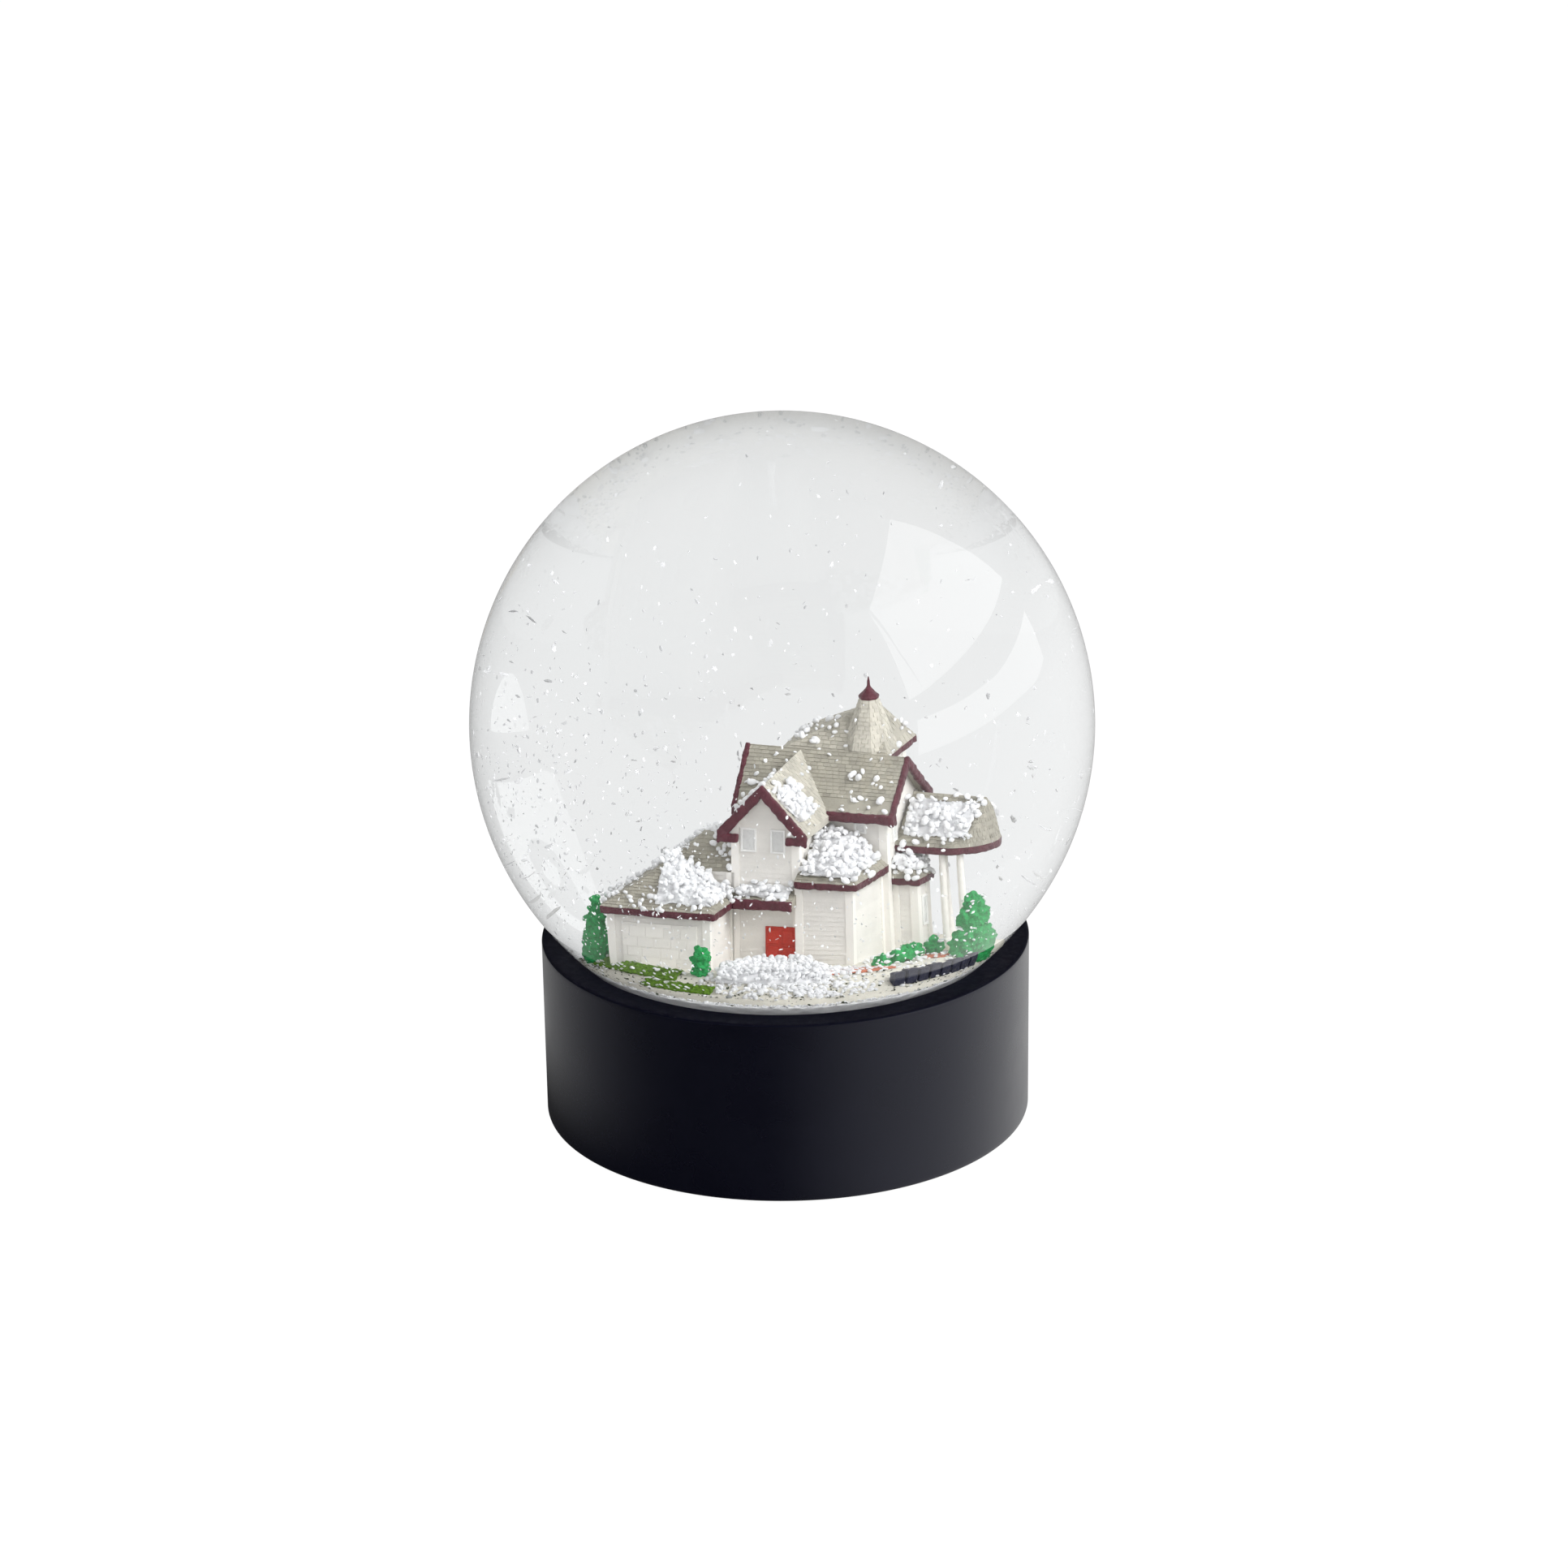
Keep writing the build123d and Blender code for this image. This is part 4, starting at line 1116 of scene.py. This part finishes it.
class GLOBE_OT_settled_snow(bpy.types.Operator):
    """Snow at rest on the roofs and the ground"""

    bl_idname = "snow_globe.settled_snow"
    bl_label = "Settled snow"

    def execute(self, context):
        made = context.scene.snow_settings
        rng = random.Random(made.seed + 1)
        white = snow_finish("settled_snow", made.snow_colour)
        chips = lump_shapes(rng, 10, 2, (0.5, 0.8), 0.07)
        sizes = (made.chip_small / MM, made.chip_large / MM)
        small = lump_shapes(rng, 10, 1, (0.3, 0.6), 0.2)
        pile = Pile()
        # The smooth snow under the chips gets a low tone and shows greyer: painted shade between the chips.
        pile.add_bmesh(soft_bmesh("roof_snow", 0.16, 3, 0.4, 1.3, -0.2), 0.05)
        strew(pile, chips, places_on("roof_snow", 1.7, rng, 0.1, 0.4), rng, sizes, (0.2, 1), 0.8)
        heaps = (("link_roof", 1.5, -0.25), ("garage_roof", 0.8, 0.0), ("main_roof", 0.4, 0.1),
                 ("front_gable_roof", 0.7, 0.0), ("rear_roof", 0.6, 0.1), ("bay_roof", 0.8, -0.1),
                 ("porch_roof", 2.2, -0.4), ("side_bay_roof", 1.6, -0.3), ("veranda_roof", 0.8, 0.0))
        for node, density, threshold in heaps:
            clumps = self.clumps(0.16, threshold)
            strew(pile, chips, places_on(node, density, rng, 0.2, 0.45, clumps), rng, sizes, (0.3, 1), 0.8)
            strew(pile, small, places_on(node, 0.14, rng, 0.2, 0.3), rng, (0.4, 0.8), (0.3, 1), 0.8)
        settle(pile.make("snow_on_roofs", white, 50), ("roof_snow",))
        pile = Pile()
        pile.add_bmesh(soft_bmesh("ground_snow", 0.4, 10, 0.3, 1.6), 0.55)
        yard_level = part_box("ground_mound")[1].z / MM - 4
        drift = places_on("ground_snow", 3.0, rng, 0.1, 0.6, lambda at: at.z > yard_level)
        strew(pile, chips, drift, rng, sizes, (0.03, 1), 1.2)
        strew(pile, chips, self.spread(drift, rng, 1.0, 2.4, (1.2, -2.0)), rng, sizes, (0.03, 1), 0.8)
        strew(pile, chips, self.spread(drift, rng, 1.0, 4.0, (3.6, -3.6)), rng, sizes, (0.03, 1), 0.8)
        gutter = places_on("ground_snow", 0.5, rng, 0.1, 0.4, lambda at: at.z < yard_level)
        yard = places_on("ground_mound", 0.55, rng, 0.1, 0.35, self.clumps(0.22, -0.2))
        strew(pile, small, gutter + yard, rng, (0.4, 1.0), (0.0, 1), 0.6)
        for node, density in (("lawn_patches", 0.6), ("garden_path", 0.6), ("hedges", 0.5),
                              ("right_tree", 0.4), ("edging_stones", 0.3)):
            strew(pile, small, places_on(node, density, rng, 0.1, 0.4), rng, (0.4, 0.9), (0.1, 1), 0.6)
        # The bits in the gutter against the glass get low tones, greyer and some near black: painted shade in
        # the gutter and between its bits.
        strew(pile, small, self.band(rng), rng, (0.3, 0.8), (-0.05, 0.5), 1.5)
        # Near-black bits on the ground's falling edge: painted shade standing for the dark gaps between the
        # chips there.
        shade_specks = places_on("ground_mound", 0.9, rng, 0.1, 0.2, lambda at: math.hypot(at.x, at.y) > YARD_REACH)
        strew(pile, small, shade_specks, rng, (0.2, 0.55), (0.0, 0.02), 0.6)
        settle(pile.make("snow_on_ground", white, 50), ("ground_snow",))
        return {"FINISHED"}

    def clumps(self, scale, threshold):
        """A rule that keeps places in loose clumps."""
        return lambda at: noise.noise(at * scale) > threshold

    def spread(self, drift, rng, share, wide, shift):
        """More places scattered thinly round the drift before the door."""
        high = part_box("ground_mound")[1] / MM
        made = []
        for x, y, _ in drift:
            if rng.random() > share:
                continue
            x, y = x + rng.gauss(shift[0], wide), y + rng.gauss(shift[1], wide * 0.7)
            away = math.hypot(x, y)
            if away < high.x - 0.5:
                made.append((x, y, high.z + 0.2 - max(0.0, away - YARD_REACH) * YARD_FALL))
        return made

    def band(self, rng):
        """Places against the inside of the glass, around the ground's foot."""
        radius, centre = ball()
        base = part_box("ground_mound")[0].z / MM
        made = []
        for _ in range(BAND_BITS):
            level = rng.uniform(base + 0.5, base + 4.9)
            limit = math.sqrt((radius - 3.0) ** 2 - (centre - level) ** 2)
            heading = rng.uniform(0, 2 * math.pi)
            away = limit - abs(rng.gauss(0, 0.5))
            made.append((away * math.cos(heading), away * math.sin(heading), level))
        return made


class GLOBE_OT_stage(bpy.types.Operator):
    """Camera, floor, lights and surroundings"""

    bl_idname = "snow_globe.stage"
    bl_label = "Stage"

    def execute(self, context):
        made = context.scene.stage_settings
        centre = Vector((0, 0, ball()[1] * MM))
        self.camera(context, made, centre)
        self.surroundings(context)
        self.floor(context)
        self.lamp(context, "key", centre + Vector((0.55, -0.35, 0.42)), centre, 0.5, made.key * 1.3)
        self.lamp(context, "fill", centre + Vector((-0.6, -0.5, 0.5)), centre, 0.8, made.key * 0.4)
        self.lamp(context, "front", centre + Vector((-0.12, -0.8, 0.08)), centre, 0.6, made.key * 0.9)
        self.window(context, made, centre)
        context.scene.view_settings.view_transform = "Standard"
        return {"FINISHED"}

    def camera(self, context, made, centre):
        """Camera a little above level, turned slightly off the ball's centre."""
        back = Vector((0, -math.cos(made.height), math.sin(made.height)))
        right = Vector((1, 0, 0))
        up = back.cross(right)
        pose = Matrix((right, up, back)).transposed()
        pose = pose @ Matrix.Rotation(made.roll, 3, "Z")
        pose = pose @ Matrix.Rotation(-made.tilt, 3, "X") @ Matrix.Rotation(-made.pan, 3, "Y")
        data = bpy.data.cameras.new("camera")
        data.lens = made.lens
        data.sensor_width = 36
        data.clip_start = 0.01
        data.dof.use_dof = False
        camera = bpy.data.objects.new("camera", data)
        camera.matrix_world = Matrix.Translation(centre + back * made.distance) @ pose.to_4x4()
        context.collection.objects.link(camera)
        context.scene.camera = camera

    def surroundings(self, context):
        """White for the eye, pale grey through the glass and dark behind the camera."""
        world = bpy.data.worlds.new("white_room")
        world.use_nodes = True
        room = Nodes(world.node_tree)
        output = room.node("ShaderNodeOutputWorld")
        glow = room.node("ShaderNodeBackground")
        room.fill(output, "Surface", glow.outputs[0])
        coords = room.node("ShaderNodeTexCoord")
        parts = room.node("ShaderNodeSeparateXYZ")
        room.fill(parts, "Vector", coords.outputs["Generated"])
        rays = room.node("ShaderNodeLightPath").outputs

        def ramp(axis, start, stop, low, high):
            """Grey that changes along one axis."""
            return room.span(parts.outputs[axis], low, high, start, stop, interpolation_type="SMOOTHSTEP")

        side = room.work_out("ADD", ramp("Y", -0.6, 0.6, 0.03, 0.45), ramp("X", -0.18, 1.0, 0.0, 0.78))
        mirrored = room.work_out("MULTIPLY", side, ramp("Z", -0.1, 0.35, 1.0, 0.4))
        through = ramp("Y", -0.5, 0.2, 0.68, 0.905)
        first = room.mix(rays["Is Glossy Ray"], (0.66, 0.66, 0.68), mirrored)
        second = room.mix(rays["Is Transmission Ray"], first, through)
        room.fill(glow, "Color", room.mix(rays["Is Camera Ray"], second, (1.05, 1.05, 1.05)))
        context.scene.world = world

    def floor(self, context):
        """White floor, bright enough to meet the backdrop without an edge; in mirror rays it is painted dark
        close to the base on its left, a painted shade in the base's reflection.
        """
        mesh = bpy.data.meshes.new("floor")
        bm = bmesh.new()
        bmesh.ops.create_grid(bm, x_segments=8, y_segments=8, size=4)
        bm.to_mesh(mesh)
        bm.free()
        finish = Finish("white_floor")
        grain = finish.noise(2.0, 3)
        shader = finish.surface(
            base_color=finish.mix(grain, (0.86, 0.86, 0.86), (0.88, 0.88, 0.88)),
            roughness=0.75,
        )
        rays = finish.node("ShaderNodeLightPath").outputs
        seen, through = rays["Is Camera Ray"], rays["Is Transmission Ray"]
        glow = finish.node("ShaderNodeEmission")
        finish.fill(glow, "Strength", finish.span(seen, 0.89, 1.05, 0, 1))
        lit = finish.blend(finish.work_out("MULTIPLY_ADD", seen, 0.93, through), shader, glow)
        # Painted reflection shade: in mirror rays the floor turns dark close to the base and to its left, so
        # the base's lower part mirrors dark.
        place = finish.node("ShaderNodeSeparateXYZ")
        finish.fill(place, "Vector", finish.place)
        away = finish.node("ShaderNodeVectorMath", operation="LENGTH")
        finish.fill(away, 0, finish.place)
        beyond_base = finish.span(away.outputs["Value"], 0.1, 1, 42, 64)
        to_the_right = finish.span(place.outputs["X"], 0, 1, -30, 5)
        painted_reflection_shade = finish.node("ShaderNodeBsdfTransparent")
        finish.fill(painted_reflection_shade, "Color", finish.work_out("ADD", beyond_base, to_the_right, use_clamp=True))
        mirrored = finish.work_out("SUBTRACT", rays["Is Glossy Ray"], through, use_clamp=True)
        finish.show(finish.blend(mirrored, lit, painted_reflection_shade))
        mesh.materials.append(finish.material)
        floor = bpy.data.objects.new("floor", mesh)
        context.collection.objects.link(floor)

    def lamp(self, context, name, place, target, size, power):
        """Soft square lamp aimed at a point; not mirrored in the pieces."""
        data = bpy.data.lights.new(name, "AREA")
        data.size = size
        data.energy = power
        lamp = bpy.data.objects.new(name, data)
        lamp.location = place
        lamp.rotation_euler = (target - place).to_track_quat("-Z", "Y").to_euler()
        lamp.visible_glossy = False
        lamp.visible_transmission = False
        lamp.visible_camera = False
        context.collection.objects.link(lamp)

    def window(self, context, made, centre):
        """Windows whose panes show in the glass at the upper right."""
        groups = (("tall_window", WINDOW_PANES, 1.2, made.window, (1, 1, 1)),
                  ("far_window", FAR_PANES, 0.45, made.window * 0.45, (1, 0.86, 0.66)))
        for name, outlines, reach, strength, tint in groups:
            finish = Finish(name)
            glow = finish.node("ShaderNodeEmission")
            finish.fill(glow, "Strength", strength)
            finish.fill(glow, "Color", (*tint, 1))
            finish.show(glow)
            pile = Pile()
            for corners in outlines:
                points = []
                for heading, height in corners:
                    a, e = math.radians(heading), math.radians(height)
                    aim = Vector((math.sin(a) * math.cos(e), -math.cos(a) * math.cos(e), math.sin(e)))
                    points.append((centre + aim * reach) / MM)
                pile.add(points, [tuple(range(len(points)))])
            panes = pile.make(name, finish.material)
            panes.visible_camera = False
            panes.visible_diffuse = False
            panes.visible_shadow = False


class GLOBE_PT_panel(bpy.types.Panel):
    """Buttons and settings of the snow globe"""

    bl_label = "Snow Globe"
    bl_idname = "GLOBE_PT_panel"
    bl_space_type = "VIEW_3D"
    bl_region_type = "UI"
    bl_category = "Snow Globe"

    def draw(self, context):
        layout = self.layout
        for kind in OPERATORS:
            layout.operator(kind.bl_idname)
        for name, kind in SETTINGS.items():
            box = layout.box()
            box.label(text=kind.__doc__)
            for key in kind.__annotations__:
                box.prop(getattr(context.scene, name), key)


SETTINGS = {
    "globe_settings": GlobeSettings,
    "house_settings": HouseSettings,
    "snow_settings": SnowSettings,
    "stage_settings": StageSettings,
}
OPERATORS = (
    GLOBE_OT_base, GLOBE_OT_stopper, GLOBE_OT_glass, GLOBE_OT_water, GLOBE_OT_flakes, GLOBE_OT_ground,
    GLOBE_OT_plants, GLOBE_OT_walls, GLOBE_OT_openings, GLOBE_OT_roofs, GLOBE_OT_trims,
    GLOBE_OT_settled_snow, GLOBE_OT_stage,
)


def register():
    """Adds the classes and the scene's settings."""
    for kind in (*SETTINGS.values(), *OPERATORS, GLOBE_PT_panel):
        bpy.utils.register_class(kind)
    for name, kind in SETTINGS.items():
        setattr(bpy.types.Scene, name, PointerProperty(type=kind))


def unregister():
    """Removes the scene's settings and the classes."""
    for name in SETTINGS:
        delattr(bpy.types.Scene, name)
    for kind in reversed((*SETTINGS.values(), *OPERATORS, GLOBE_PT_panel)):
        bpy.utils.unregister_class(kind)


def main():
    """Builds the whole globe."""
    register()
    bpy.ops.snow_globe.base()
    bpy.ops.snow_globe.stopper()
    bpy.ops.snow_globe.glass()
    bpy.ops.snow_globe.water()
    bpy.ops.snow_globe.flakes()
    bpy.ops.snow_globe.ground()
    bpy.ops.snow_globe.plants()
    bpy.ops.snow_globe.walls()
    bpy.ops.snow_globe.openings()
    bpy.ops.snow_globe.roofs()
    bpy.ops.snow_globe.trims()
    bpy.ops.snow_globe.settled_snow()
    bpy.ops.snow_globe.stage()


if __name__ == "__main__":
    main()
